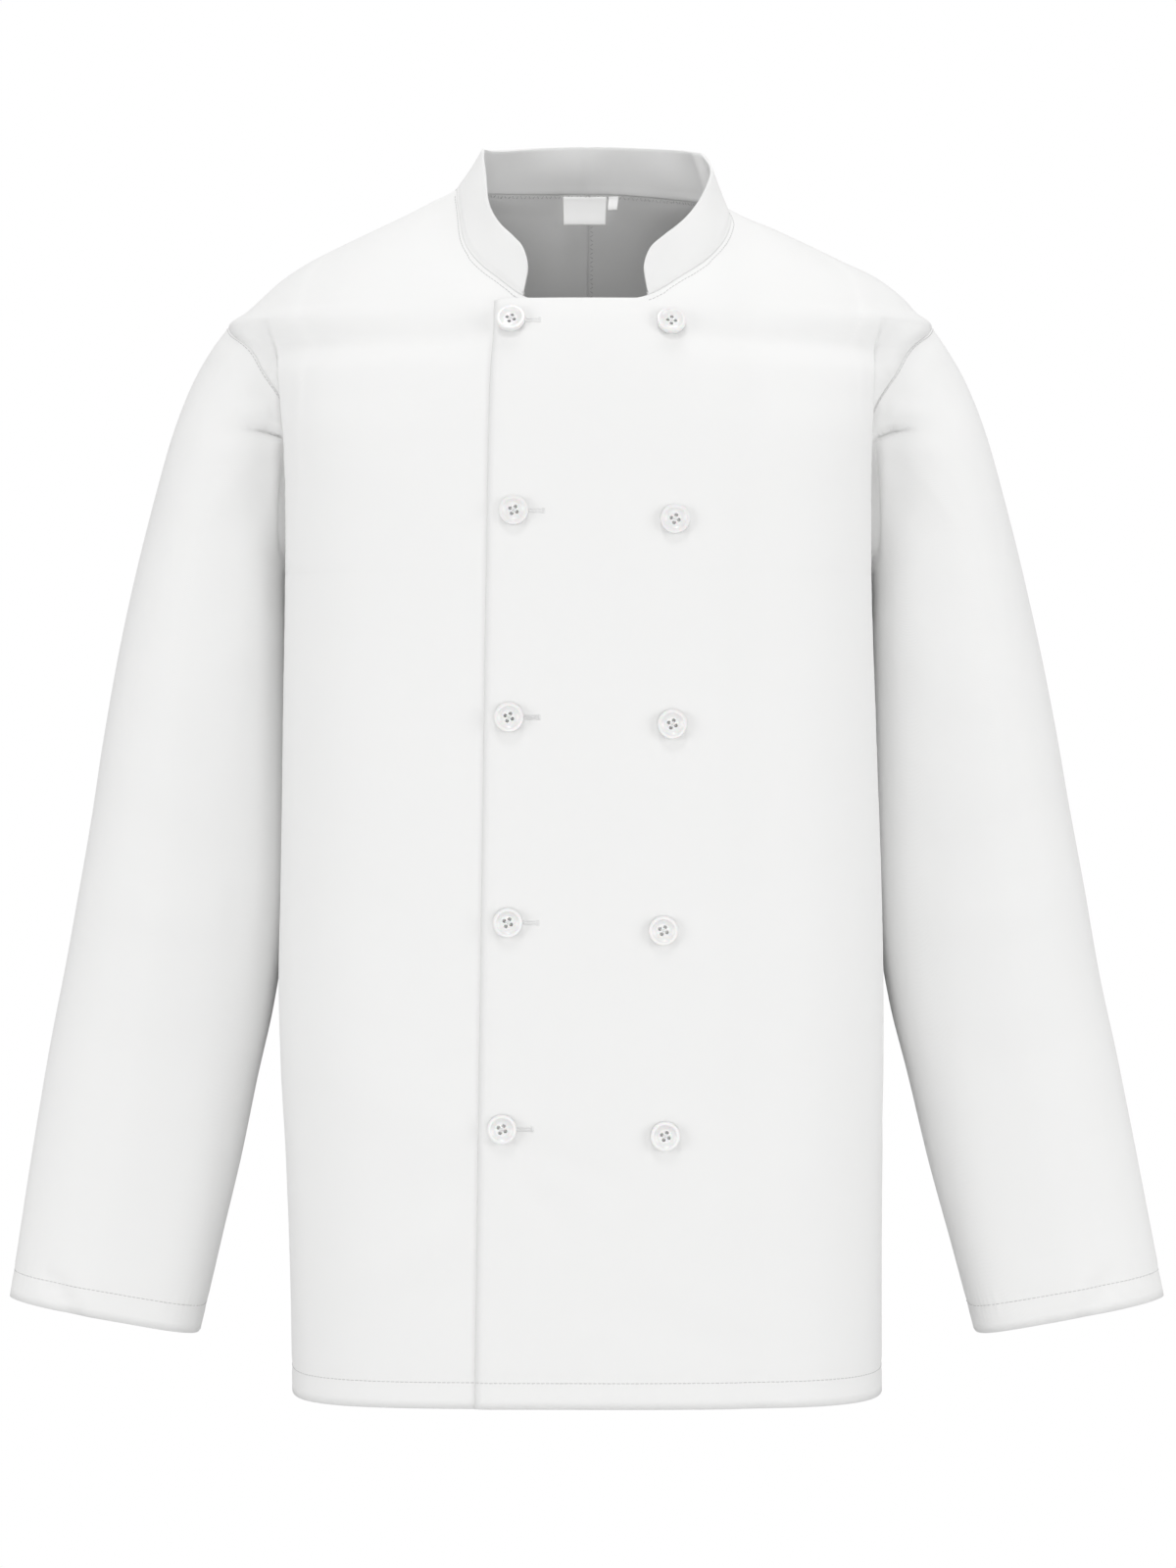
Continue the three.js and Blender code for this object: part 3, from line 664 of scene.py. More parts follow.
@dataclass(frozen=True)
class ClothFinish:
    """Fine white twill: its colour, sheen, weave and slight crumple."""

    name: str = "white twill"
    color: tuple[float, float, float] = (0.86, 0.86, 0.855)
    roughness: float = 0.82
    sheen: float = 0.12
    twill_angle: float = 27.0
    twill_scale: float = 714.285
    twill_depth: float = 0.00006
    twill_darker: float = 0.975
    crumple_scale: float = 26.0
    crumple_depth: float = 0.0014

    def make(self) -> bpy.types.Material:
        """Makes the material, whose weave follows the cloth's UV map."""
        cloth = NodeMaterial(self.name, {"Roughness": self.roughness, "Sheen Weight": self.sheen,
                                         "Sheen Roughness": 0.4, "Specular IOR Level": 0.25})
        turn = cloth.add("ShaderNodeMapping", {"Rotation": (0, 0, math.radians(self.twill_angle))},
                         cloth.on_surface())
        twill = cloth.add("ShaderNodeTexWave", {"Scale": self.twill_scale, "Distortion": 0.6, "Detail": 1.0},
                          turn.outputs["Vector"])
        weave = cloth.add("ShaderNodeBump", {"Distance": self.twill_depth, "Strength": 0.6},
                          twill.outputs["Fac"], "Height")
        crumple = cloth.add("ShaderNodeTexNoise", {"Scale": self.crumple_scale, "Detail": 3.0,
                                                   "Roughness": 0.45}, cloth.on_object())
        soft = cloth.add("ShaderNodeBump", {"Distance": self.crumple_depth, "Strength": 0.5},
                         crumple.outputs["Fac"], "Height")
        cloth.material.node_tree.links.new(weave.outputs["Normal"], soft.inputs["Normal"])
        cloth.feed(soft.outputs["Normal"])
        cloth.tint(self.color, self.twill_darker, twill.outputs["Fac"])
        return cloth.material


@dataclass(frozen=True)
class ThreadFinish:
    """Slightly glossy white sewing thread. Its default grey colour is painted shade, the shadow of the
    stitch holes where the rows sink into the cloth.
    """

    name: str = "white thread with painted shade"
    # Grey base colour: painted shade of the stitch holes, darker than the thread's own white.
    color: tuple[float, float, float] = (0.58, 0.58, 0.58)
    roughness: float = 0.5
    twist_scale: float = 4000.0
    twist_depth: float = 0.0001

    def make(self) -> bpy.types.Material:
        """Makes the material, with the thread's fine twist as bump."""
        thread = NodeMaterial(self.name, {"Base Color": (*self.color, 1), "Roughness": self.roughness,
                                          "Sheen Weight": 0.2})
        twist = thread.add("ShaderNodeTexNoise", {"Scale": self.twist_scale}, thread.on_object())
        bump = thread.add("ShaderNodeBump", {"Distance": self.twist_depth, "Strength": 0.5},
                          twist.outputs["Fac"], "Height")
        thread.feed(bump.outputs["Normal"])
        return thread.material


@dataclass(frozen=True)
class ButtonFinish:
    """White polished button plastic, a little translucent and cloudy."""

    name: str = "button plastic"
    color: tuple[float, float, float] = (0.83, 0.83, 0.825)
    roughness: float = 0.25
    wear: float = 0.12
    cloud_scale: float = 220.0
    cloud_darker: float = 0.95

    def make(self) -> bpy.types.Material:
        """Makes the material, with faint clouds and fine wear."""
        plastic = NodeMaterial(self.name, {"Subsurface Weight": 0.12, "Subsurface Scale": 0.002,
                                           "Coat Weight": 0.2})
        cloud = plastic.add("ShaderNodeTexNoise", {"Scale": self.cloud_scale, "Detail": 3.0},
                            plastic.on_object())
        plastic.tint(self.color, self.cloud_darker, cloud.outputs["Fac"])
        worn = plastic.add("ShaderNodeMapRange", {"To Min": self.roughness,
                                                  "To Max": self.roughness + self.wear},
                           cloud.outputs["Fac"], "Value")
        plastic.feed(worn.outputs["Result"], "Roughness")
        return plastic.material


@dataclass(frozen=True)
class LabelFinish:
    """Smooth, bright woven label tape, bare, with a painted glow: emission that lights it in the shade
    inside the neck.
    """

    name: str = "label tape"
    color: tuple[float, float, float] = (0.95, 0.95, 0.945)
    rib_pitch: float = 0.0006
    rib_depth: float = 0.00005
    # Emission strength: a painted glow that brightens the label in the neck's shade.
    painted_glow: float = 0.27

    def make(self) -> bpy.types.Material:
        """Makes the material, with the tape's fine ribs."""
        white = (*self.color, 1)
        # The emission is painted light: the tape glows though it is no lamp.
        tape = NodeMaterial(self.name, {"Base Color": white, "Roughness": 0.45, "Sheen Weight": 0.6,
                                        "Emission Color": white, "Emission Strength": self.painted_glow})
        rib = tape.add("ShaderNodeTexWave", {"Scale": WAVE_REPEAT / self.rib_pitch}, tape.on_surface())
        rib.bands_direction = "Y"
        bump = tape.add("ShaderNodeBump", {"Distance": self.rib_depth}, rib.outputs["Fac"], "Height")
        tape.feed(bump.outputs["Normal"])
        return tape.material


@dataclass
class Finishes:
    """Every material, made once."""

    cloth: bpy.types.Material = field(default_factory=lambda: ClothFinish().make())
    # The sewn rows take thread darkened with painted shade; the raised thread on buttons and buttonholes
    # stays near the thread's own white.
    thread: bpy.types.Material = field(default_factory=lambda: ThreadFinish().make())
    raised_thread: bpy.types.Material = field(
        default_factory=lambda: ThreadFinish("raised thread", (0.84, 0.84, 0.84)).make())
    button: bpy.types.Material = field(default_factory=lambda: ButtonFinish().make())
    label: bpy.types.Material = field(default_factory=lambda: LabelFinish().make())


def dress(piece: bpy.types.Object, material: bpy.types.Material) -> None:
    """Gives a piece its material and slot, and lets it ride on the jacket's body.

    Args:
        piece: The finished piece.
        material: Its material.
    """
    piece.data.materials.clear()
    piece.data.materials.append(material)
    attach(piece, "root")
    log.info("%s: %d faces", piece.name, len(piece.data.polygons))


@dataclass
class Stitching:
    """Rows of stitches laid on the cloth, all from one modelled stitch."""

    finishes: Finishes
    pitch: float = 2.9
    length: float = 2.2
    radius: float = 0.24
    dip: float = 0.25
    thin_end: float = 0.2
    raised: float = 0.6
    pattern: bpy.types.Object = field(init=False)

    def __post_init__(self) -> None:
        """Models one stitch: a short thread whose ends dip into the cloth."""
        Bench.clear_selection()
        bpy.ops.mesh.primitive_cylinder_add(vertices=6, radius=self.radius * MM, depth=self.length * MM,
                                            end_fill_type="NGON", rotation=(0, math.pi / 2, 0))
        stitch = bpy.context.object
        Bench.settle(stitch)
        Bench.pick(stitch)
        bpy.ops.object.mode_set(mode="EDIT")
        bpy.ops.mesh.select_all(action="SELECT")
        bpy.ops.mesh.bisect(plane_co=(0, 0, 0), plane_no=(1, 0, 0), use_fill=False)
        bpy.ops.object.mode_set(mode="OBJECT")
        for vertex in stitch.data.vertices:
            share = abs(vertex.co.x) / (self.length * MM / 2)
            vertex.co.z -= self.dip * MM * share**2
            vertex.co.z *= 1 - self.thin_end * share
        stitch.name = "stitch_pattern"
        self.pattern = stitch

    def row(self, name: str, path: np.ndarray, out: np.ndarray, zigzag: float = 0.0) -> None:
        """Sews along a path.

        Args:
            name: The row's name.
            path: Points on the cloth's face, in millimetres.
            out: The cloth's outward directions at those points.
            zigzag: Half the width of a zigzag, or 0 for a straight row.
        """
        steps = np.linalg.norm(np.diff(path, axis=0), axis=1)
        far = np.concatenate([[0], np.cumsum(steps)])
        spots = np.arange(self.pitch / 2, far[-1] - self.pitch / 4, self.pitch)
        places = []
        for count, spot in enumerate(spots):
            i = int(np.clip(np.searchsorted(far, spot) - 1, 0, len(steps) - 1))
            t = (spot - far[i]) / max(steps[i], 1e-6)
            point = path[i] + (path[i + 1] - path[i]) * t
            normal = unit(out[i] + (out[i + 1] - out[i]) * t)
            ahead = unit(path[i + 1] - path[i])
            aside = unit(np.cross(normal, ahead))
            if zigzag:
                ahead = unit(ahead * self.pitch + aside * (2 * zigzag) * (1 if count % 2 else -1))
                aside = unit(np.cross(normal, ahead))
            normal = np.cross(ahead, aside)
            frame = Matrix(np.column_stack([ahead, aside, normal]).tolist()).to_4x4()
            frame.translation = Vector(((point + normal * self.radius * self.raised) * MM).tolist())
            places.append(frame)
        # Each row is dressed in the thread darkened with painted shade.
        dress(Bench.stamp(name, self.pattern, places), self.finishes.thread)

    def finish(self) -> None:
        """Removes the pattern once every row is sewn."""
        bpy.data.objects.remove(self.pattern, do_unlink=True)


@dataclass
class Body:
    """The two fronts and the two backs, with their seams, hems and creases."""

    form: JacketForm
    finishes: Finishes
    stitching: Stitching
    cloth: float = 0.8
    hem: float = 16.0
    neck_seam: float = 1.6
    seam_stand: float = 0.9
    overlock_widths: tuple[float, float] = (2.4, 2.6)
    edge_stitch: float = 5.0
    search_rows: int = 60
    overlock_rows: int = 40
    hem_wave: float = 0.45
    hem_wave_reach: float = 120.0
    pucker: float = 0.2
    hem_dent: tuple[float, float] = (-0.5, 1.6)
    side_dent: tuple[float, float] = (-0.4, 1.6)
    back_dent: tuple[float, float] = (-0.5, 2.2)
    below_tip: tuple[float, float] = (-150.0, -100.0)
    panels: dict[str, Panel] = field(default_factory=dict)
    flats: dict[str, tuple[float, float, float]] = field(default_factory=lambda: {
        "front_left": (0.345, 0.80, 0.245),
        "front_right": (0.345, 0.80, 0.245),
        "back_left": (0.265, 0.80, 0.185),
        "back_right": (0.265, 0.80, 0.185),
    })
    creases: tuple[Crease, ...] = (
        Crease(Face.FRONT, (-60, -610), (-175, -545), 1.6, 20),
        Crease(Face.FRONT, (-75, -650), (-165, -700), 1.7, 18),
        Crease(Face.FRONT, (-95, -500), (-170, -430), -0.9, 24),
        Crease(Face.FRONT, (-46, -601), (25, -628), -1.3, 8),
        Crease(Face.FRONT, (-50, -610), (-12, -655), -1.3, 8),
        Crease(Face.FRONT, (10, -700), (110, -735), -0.9, 14),
        Crease(Face.FRONT, (90, -640), (165, -600), 0.9, 24),
        Crease(Face.FRONT, (70, -200), (170, -165), 1.3, 26),
        Crease(Face.FRONT, (-75, -215), (-175, -170), 1.3, 26),
        Crease(Face.FRONT, (60, -110), (130, -70), -1.1, 20),
        Crease(Face.FRONT, (-62, -110), (-130, -70), -1.1, 20),
        Crease(Face.FRONT, (60, -330), (150, -280), -0.8, 30),
        Crease(Face.FRONT, (-60, -345), (-150, -300), -0.8, 30),
        Crease(Face.FRONT, (50, -470), (120, -520), 0.8, 18),
        Crease(Face.BACK, (-150, -190), (-40, -230), 1.8, 22),
        Crease(Face.BACK, (150, -200), (45, -245), 1.8, 22),
        Crease(Face.BACK, (-160, -330), (-60, -300), -1.5, 26),
        Crease(Face.BACK, (155, -350), (70, -310), -1.4, 26),
        Crease(Face.BACK, (-120, -480), (-90, -700), 1.6, 24),
        Crease(Face.BACK, (110, -500), (95, -720), 1.5, 26),
        Crease(Face.BACK, (-60, -60), (-150, -95), -1.2, 16),
        Crease(Face.BACK, (60, -60), (150, -95), -1.2, 16),
    )

    def build(self) -> None:
        """Makes the four panels and their sewing."""
        for side, name in ((Side.LEFT, "left"), (Side.RIGHT, "right")):
            for face, kind in ((Face.FRONT, "front"), (Face.BACK, "back")):
                self.panel(f"{kind}_{name}", side, face)
        self.sew()

    def panel(self, name: str, side: Side, face: Face) -> None:
        """Makes one panel.

        Args:
            name: The CAD node's name, which the piece takes over.
            side: The wearer's side.
            face: Front or back.
        """
        panel = Panel(self.form, side, face)
        self.crumple(panel)
        self.panels[name] = panel
        piece = ClothMesh.make(f"{name}_cloth", panel.points, False, panel.out, self.cloth)
        dress(piece, self.finishes.cloth)
        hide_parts(name)

    def crumple(self, panel: Panel) -> None:
        """Presses creases, seams and the hem into a panel's points."""
        points, out = panel.points, panel.out
        flatness = smooth(np.abs(out[..., 1]), 0.15, 0.6)
        move = np.zeros(points.shape[:2])
        for crease in self.creases:
            if crease.face is panel.face:
                move += crease.height(points) * flatness
        x, z = points[..., 0], points[..., 2]
        above_hem = z - self.form.hem_z
        wave = np.sin(x / 31 + 1.3) + 0.6 * np.sin(x / 17 + z / 60)
        move += self.hem_wave * wave * (1 - smooth(above_hem, 0, self.hem_wave_reach)) * flatness
        pucker = np.sin(x / 1.55) + 0.7 * np.sin(x / 2.35 + 2)
        move += pucker * bell(above_hem - self.hem, self.pucker, 5) * flatness
        move += bell(above_hem - self.hem, *self.hem_dent)
        side_seam = np.linalg.norm(points - points[:, -1:], axis=-1)
        move += bell(side_seam, *self.side_dent) * (1 - smooth(z, *self.below_tip))
        if panel.face is Face.BACK:
            move += bell(x, *self.back_dent)
        panel.points = points + out * move[..., None]

    def sew(self) -> None:
        """Lays the hem, back and neck stitching on the panels."""
        face_offset = self.cloth / 2
        for name, panel in self.panels.items():
            heights = panel.points[:, 0, 2] - self.form.hem_z
            row = int(np.argmin(np.abs(heights - self.hem)))
            path = panel.points[row] + panel.out[row] * face_offset
            self.stitching.row(f"hem_stitches_{name}", path, panel.out[row])
        back, column = self.panels["back_left"], 1
        path, out = back.points[:, column], back.out[:, column]
        self.stitching.row("centre_back_stitches", path + out * face_offset, out)
        top = slice(-self.overlock_rows, None)
        wide_back, wide_neck = self.overlock_widths
        self.stitching.row("centre_back_overlock", (path - out * face_offset)[top], -out[top], wide_back)
        right, left = (
            self.below_neck(name, self.panels[name].neck_edge()[::order], self.neck_seam,
                            -face_offset - self.seam_stand)
            for name, order in (("back_right", -1), ("back_left", 1))
        )
        self.stitching.row("neck_overlock", np.concatenate([right[0], left[0]]),
                           np.concatenate([right[1], left[1]]), wide_neck)
        for name in ("front_left", "front_right"):
            columns = self.panels[name].neck_edge(self.form.collar_ends[self.panels[name].side])
            path, out = self.below_neck(name, columns, self.edge_stitch, face_offset)
            self.stitching.row(f"neck_stitches_{name}", path, out)

    def below_neck(self, name: str, columns: np.ndarray, down: float,
                   stand: float) -> tuple[np.ndarray, np.ndarray]:
        """Finds a line on a panel that keeps its distance from the neck edge.

        Args:
            name: The panel's name.
            columns: The columns that the line crosses, in order.
            down: How far below the edge it runs.
            stand: How far it stands off the middle of the cloth, inwards if negative.

        Returns:
            The line's points, and the directions away from the cloth there.
        """
        panel = self.panels[name]
        edge, near = panel.points[-1, columns], panel.points[-self.search_rows:, columns]
        away = np.linalg.norm(edge - near, axis=-1)
        rows = np.argmin(np.abs(away - down), axis=0) - self.search_rows
        out = panel.out[rows, columns] * np.sign(stand)
        return panel.points[rows, columns] + out * abs(stand), out


@dataclass
class Sleeve:
    """One set-in sleeve, from its armhole to its cuff."""

    form: JacketForm
    finishes: Finishes
    stitching: Stitching
    side: Side
    cloth: float = 0.8
    rings_per_row: int = 10
    inner_corner: float = 1.9
    seam_stitch: float = 1.2
    hem: float = 17.0
    flat: tuple[float, float, float] = (0.47, 0.66, 0.225)
    left_crease_shift: float = -11.0
    clear_of_seam: tuple[float, float] = (0.05, 0.4)
    cuff_wave: float = 0.5
    cuff_wave_reach: float = 90.0
    pucker: float = 0.15
    hem_dent: tuple[float, float] = (-0.5, 1.6)
    seam_dent: tuple[float, float] = (-0.3, 1.2)
    below_tip: tuple[float, float] = (-150.0, -100.0)
    table: Table = field(default_factory=lambda: Table(RING_COLUMNS, RINGS))

    def build(self, body: Body) -> None:
        """Makes the sleeve against its body's armhole.

        Args:
            body: The panels, already made.
        """
        name = self.side.name.lower()
        loop, faces, turns = self.armhole(body)
        rings = np.linspace(0, len(RINGS) - 1, (len(RINGS) - 1) * self.rings_per_row + 1)
        own = loop - self.ring(np.zeros(1), faces, turns)[0]
        points = self.ring(rings, faces, turns) + own[None] * self.table.at("fade", rings)[:, None, None]
        centre = points.mean(axis=1, keepdims=True)
        out = ClothMesh.normals(points, True, points - centre)
        points = points + out * self.crumple(points, out, rings)[..., None]
        piece = ClothMesh.make(f"sleeve_{name}_cloth", points, True, points - centre, self.cloth)
        dress(piece, self.finishes.cloth)
        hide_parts(f"sleeve_{name}")
        self.sew(name, points, out)

    def armhole(self, body: Body) -> tuple[np.ndarray, np.ndarray, np.ndarray]:
        """Walks round the armhole.

        Args:
            body: The panels, already made.

        Returns:
            Its points, 1 or -1 for front or back, and each point's turn.
        """
        name = self.side.name.lower()
        front, back = body.panels[f"front_{name}"], body.panels[f"back_{name}"]
        start = front.rows_below
        turns = np.concatenate([[-90.0], front.turns])
        points = np.concatenate([front.points[start:, -1], back.points[start:, -1][1:-1][::-1]])
        faces = np.concatenate([np.ones(len(turns)), -np.ones(len(turns) - 2)])
        return points, faces, np.concatenate([turns, turns[1:-1][::-1]])

    def ring(self, rings: np.ndarray, faces: np.ndarray, turns: np.ndarray) -> np.ndarray:
        """Works out rings before the armhole's own shape is added.

        Args:
            rings: Places along the table.
            faces: 1 or -1 for each point round a ring.
            turns: Each point's turn, in degrees.

        Returns:
            Rings by points by 3.
        """
        read = {name: self.table.at(name, rings)[:, None] for name in RING_COLUMNS}
        sin, cos = np.sin(np.radians(turns))[None], np.cos(np.radians(turns))[None]
        squarer = np.where((faces > 0) & (turns < 0), (self.inner_corner - 1) * (1 - read["fade"]), 0.0)
        power = 2 / (read["square"] * (1 + squarer))
        across = (1 + np.sign(sin) * np.abs(sin) ** power) / 2
        deep = np.abs(cos) ** power
        z = read["in_z"] + (read["out_z"] - read["in_z"]) * across
        x = read["in_x"] + (read["out_x"] - read["in_x"]) * across
        x = x - self.side.value * self.form.sections.at("lean", z)
        middle = (read["front_y"] + read["back_y"]) / 2
        y = middle - faces[None] * deep * (read["back_y"] - read["front_y"]) / 2
        return np.stack([self.side.value * x, y, z], axis=-1)

    def creases(self) -> tuple[Crease, ...]:
        """Lists the sleeve's folds, mirrored to its side."""
        folds = (
            (Face.FRONT, (191, -161.5), (204, -157), -6.5, 2.0, 0.8),
            (Face.FRONT, (203, -157.2), (219, -156), -5.2, 1.8, 0.15),
            (Face.FRONT, (200, -146), (226, -146), 3.0, 7, 0.5),
            (Face.FRONT, (205, -168), (238, -172), 1.6, 8, 0.4),
            (Face.FRONT, (192, -166), (192.5, -240), -9.0, 3.0, 0.7),
            (Face.FRONT, (205, -205), (262, -235), -1.6, 14, 0.4),
            (Face.FRONT, (215, -300), (290, -330), 1.3, 22, 0.5),
            (Face.FRONT, (222, -430), (300, -400), -1.5, 16, 0.4),
            (Face.FRONT, (225, -470), (315, -455), 1.4, 14, 0.5),
            (Face.FRONT, (250, -560), (330, -540), -1.0, 20, 0.5),
            (Face.FRONT, (345, -690), (318, -726), -2.0, 6, 0.9),
            (Face.FRONT, (330, -694), (305, -728), 1.2, 7, 0.9),
            (Face.BACK, (205, -170), (245, -215), -2.4, 10, 0.4),
            (Face.BACK, (215, -300), (285, -270), 1.8, 18, 0.4),
            (Face.BACK, (235, -440), (310, -455), -2.2, 12, 0.5),
            (Face.BACK, (230, -475), (315, -490), 1.8, 14, 0.5),
            (Face.BACK, (250, -600), (330, -580), -1.2, 18, 0.5),
        )
        flip = self.side.value
        shift = self.left_crease_shift if self.side is Side.LEFT else 0.0
        return tuple(
            Crease(face, (flip * (start[0] + shift), start[1]), (flip * (end[0] + shift), end[1]), *size)
            for face, start, end, *size in folds
        )

    def crumple(self, points: np.ndarray, out: np.ndarray, rings: np.ndarray) -> np.ndarray:
        """Works out the sleeve's folds, seam and cuff as moves outward."""
        forward = smooth(-out[..., 1], 0.1, 0.5)
        backward = smooth(out[..., 1], 0.1, 0.5)
        clear = smooth(rings, *self.clear_of_seam)[:, None]
        move = np.zeros(points.shape[:2])
        for crease in self.creases():
            facing = forward if crease.face is Face.FRONT else backward
            move += crease.height(points) * facing * clear
        from_cuff = np.linalg.norm(points - points[-1:], axis=-1)
        around = np.arctan2(out[..., 1], out[..., 0])
        move += self.cuff_wave * np.sin(3 * around + 0.8) * (1 - smooth(from_cuff, 0, self.cuff_wave_reach))
        pucker = np.sin(around * 47) + 0.7 * np.sin(around * 31 + 2)
        move += pucker * bell(from_cuff - self.hem, self.pucker, 5)
        move += bell(from_cuff - self.hem, *self.hem_dent)
        from_seam = np.linalg.norm(points - points[:1], axis=-1)
        return move + bell(from_seam, *self.seam_dent) * (1 - smooth(points[..., 2], *self.below_tip))

    def sew(self, name: str, points: np.ndarray, out: np.ndarray) -> None:
        """Lays the cuff's and the armhole's stitches, each as far from its edge as it is sewn."""
        closed = np.append(np.arange(points.shape[1]), 0)
        face = points + out * self.cloth / 2
        for kind, edge, distance in (("cuff", -1, self.hem), ("armhole", 0, self.seam_stitch)):
            away = np.linalg.norm(points - points[edge], axis=-1).mean(axis=1)
            row = int(np.argmin(np.abs(away - distance)))
            self.stitching.row(f"{kind}_stitches_{name}", face[row][closed], out[row][closed])


@dataclass
class Collar:
    """The stand collar, with rounded ends."""

    form: JacketForm
    finishes: Finishes
    thick: float = 1.8
    end_radius: float = 16.0
    seam_gap: float = 0.2
    flat_height: float = 0.033
    neck_middle_y: float = -15.0
    turn_by: float = 0.14
    dent: float = 0.9
    dent_wave: float = 13.0
    dent_clear: tuple[float, float] = (5.0, 40.0)
    table: Table = field(default_factory=lambda: Table(COLLAR_COLUMNS, COLLAR_STATIONS))

    def base(self, body: Body) -> tuple[np.ndarray, np.ndarray]:
        """Walks along the neck edge from the wearer's right collar end to the left one.

        Args:
            body: The panels, already made.

        Returns:
            Points and the panels' outward directions there.
        """
        points, outs = [], []
        for name, order in (("front_right", 1), ("back_right", -1), ("back_left", 1), ("front_left", -1)):
            panel = body.panels[name]
            limit = self.form.collar_ends[panel.side] if panel.face is Face.FRONT else 90.0
            picked = panel.neck_edge(limit)[::order]
            picked = picked[1:] if points else picked
            points.append(panel.points[-1, picked])
            outs.append(panel.out[-1, picked])
        return np.concatenate(points), np.concatenate(outs)

    def build(self, body: Body) -> None:
        """Makes the collar on its body's neck edge."""
        base, outs = self.base(body)
        far = ClothMesh.lengths(base, 0)
        total = far[-1]
        bends = np.radians(np.linspace(0, 90, 13))
        ends = self.end_radius * (1 - np.cos(bends))
        middle = np.arange(self.end_radius + 3, total - self.end_radius - 2, 3.0)
        places = np.concatenate([ends, middle, total - ends[::-1]])
        start, panel_out = (
            np.stack([np.interp(places, far, values[:, k]) for k in range(3)], axis=-1)
            for values in (base, outs)
        )
        panel_out = unit(panel_out)
        rise_from = unit(np.cross(np.gradient(start, axis=0), panel_out))
        way = places / total
        lean = np.radians(self.table.at("lean", way))[:, None]
        to_neck = np.array([0.0, self.neck_middle_y, 0.0]) - start
        to_neck[:, 2] = 0
        rise = np.array([0.0, 0.0, 1.0]) * np.cos(lean) + unit(to_neck) * np.sin(lean)
        from_end = np.minimum(places, total - places)
        inner = 1 - np.minimum(from_end, self.end_radius) / self.end_radius
        cut = self.end_radius * (1 - np.sqrt(np.maximum(0, 1 - inner**2)))
        height = (self.table.at("height", way) - cut)[:, None]
        levels = np.array([0, 0.03, 0.08, *np.linspace(self.turn_by, 1, 16)])
        rows = []
        for level in levels:
            turn = float(smooth(level, 0, self.turn_by))
            ahead = unit(rise_from * (1 - turn) + rise * turn)
            rows.append(start + rise_from * self.seam_gap + ahead * height * level)
        points = np.array(rows)
        out = ClothMesh.normals(points, False, np.repeat(panel_out[None], len(levels), axis=0))
        dent = self.dent * np.sin(places / self.dent_wave) * np.sin(np.pi * levels)[:, None]
        points = points + out * (dent * smooth(from_end, *self.dent_clear))[..., None]
        piece = ClothMesh.make("collar_cloth", points, False, out, self.thick)
        dress(piece, self.finishes.cloth)
        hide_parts("collar")


@dataclass
class Patch:
    """A small bare patch sewn into the back of the neck."""

    form: JacketForm
    finishes: Finishes
    node: str
    left: float
    right: float
    top: float
    bottom: float
    stand: float = 1.6
    tilt: float = 4.5
    ripple: float = 0.25
    thick: float = 0.5
    smallest_blank: float = 0.01

    def build(self) -> None:
        """Makes the patch from the back's own surface, moved in."""
        x = np.linspace(self.left, self.right, 25)
        z = np.linspace(self.bottom, self.top, 15)
        grid_x, grid_z = np.meshgrid(x, z)
        depth = self.form.sections.at("back", grid_z)
        angle = np.degrees(np.arctan2(depth, np.abs(grid_x)))
        points, out = np.zeros((2, *grid_x.shape, 3))
        for side in Side:
            mask = grid_x * side.value >= 0
            points[mask] = self.form.point(side, Face.BACK, angle[mask], grid_z[mask])
            out[mask] = self.form.outward(side, Face.BACK, angle[mask], grid_z[mask])
        low = smooth(self.top - grid_z, 0, self.top - self.bottom)
        curl = self.tilt * low + self.ripple * np.sin(grid_x / 4) * low
        points = points - out * (self.stand + curl)[..., None]
        piece = ClothMesh.make(f"{self.node}_tape", points, False, -out, self.thick)
        dress(piece, self.finishes.label)
        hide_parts(self.node)


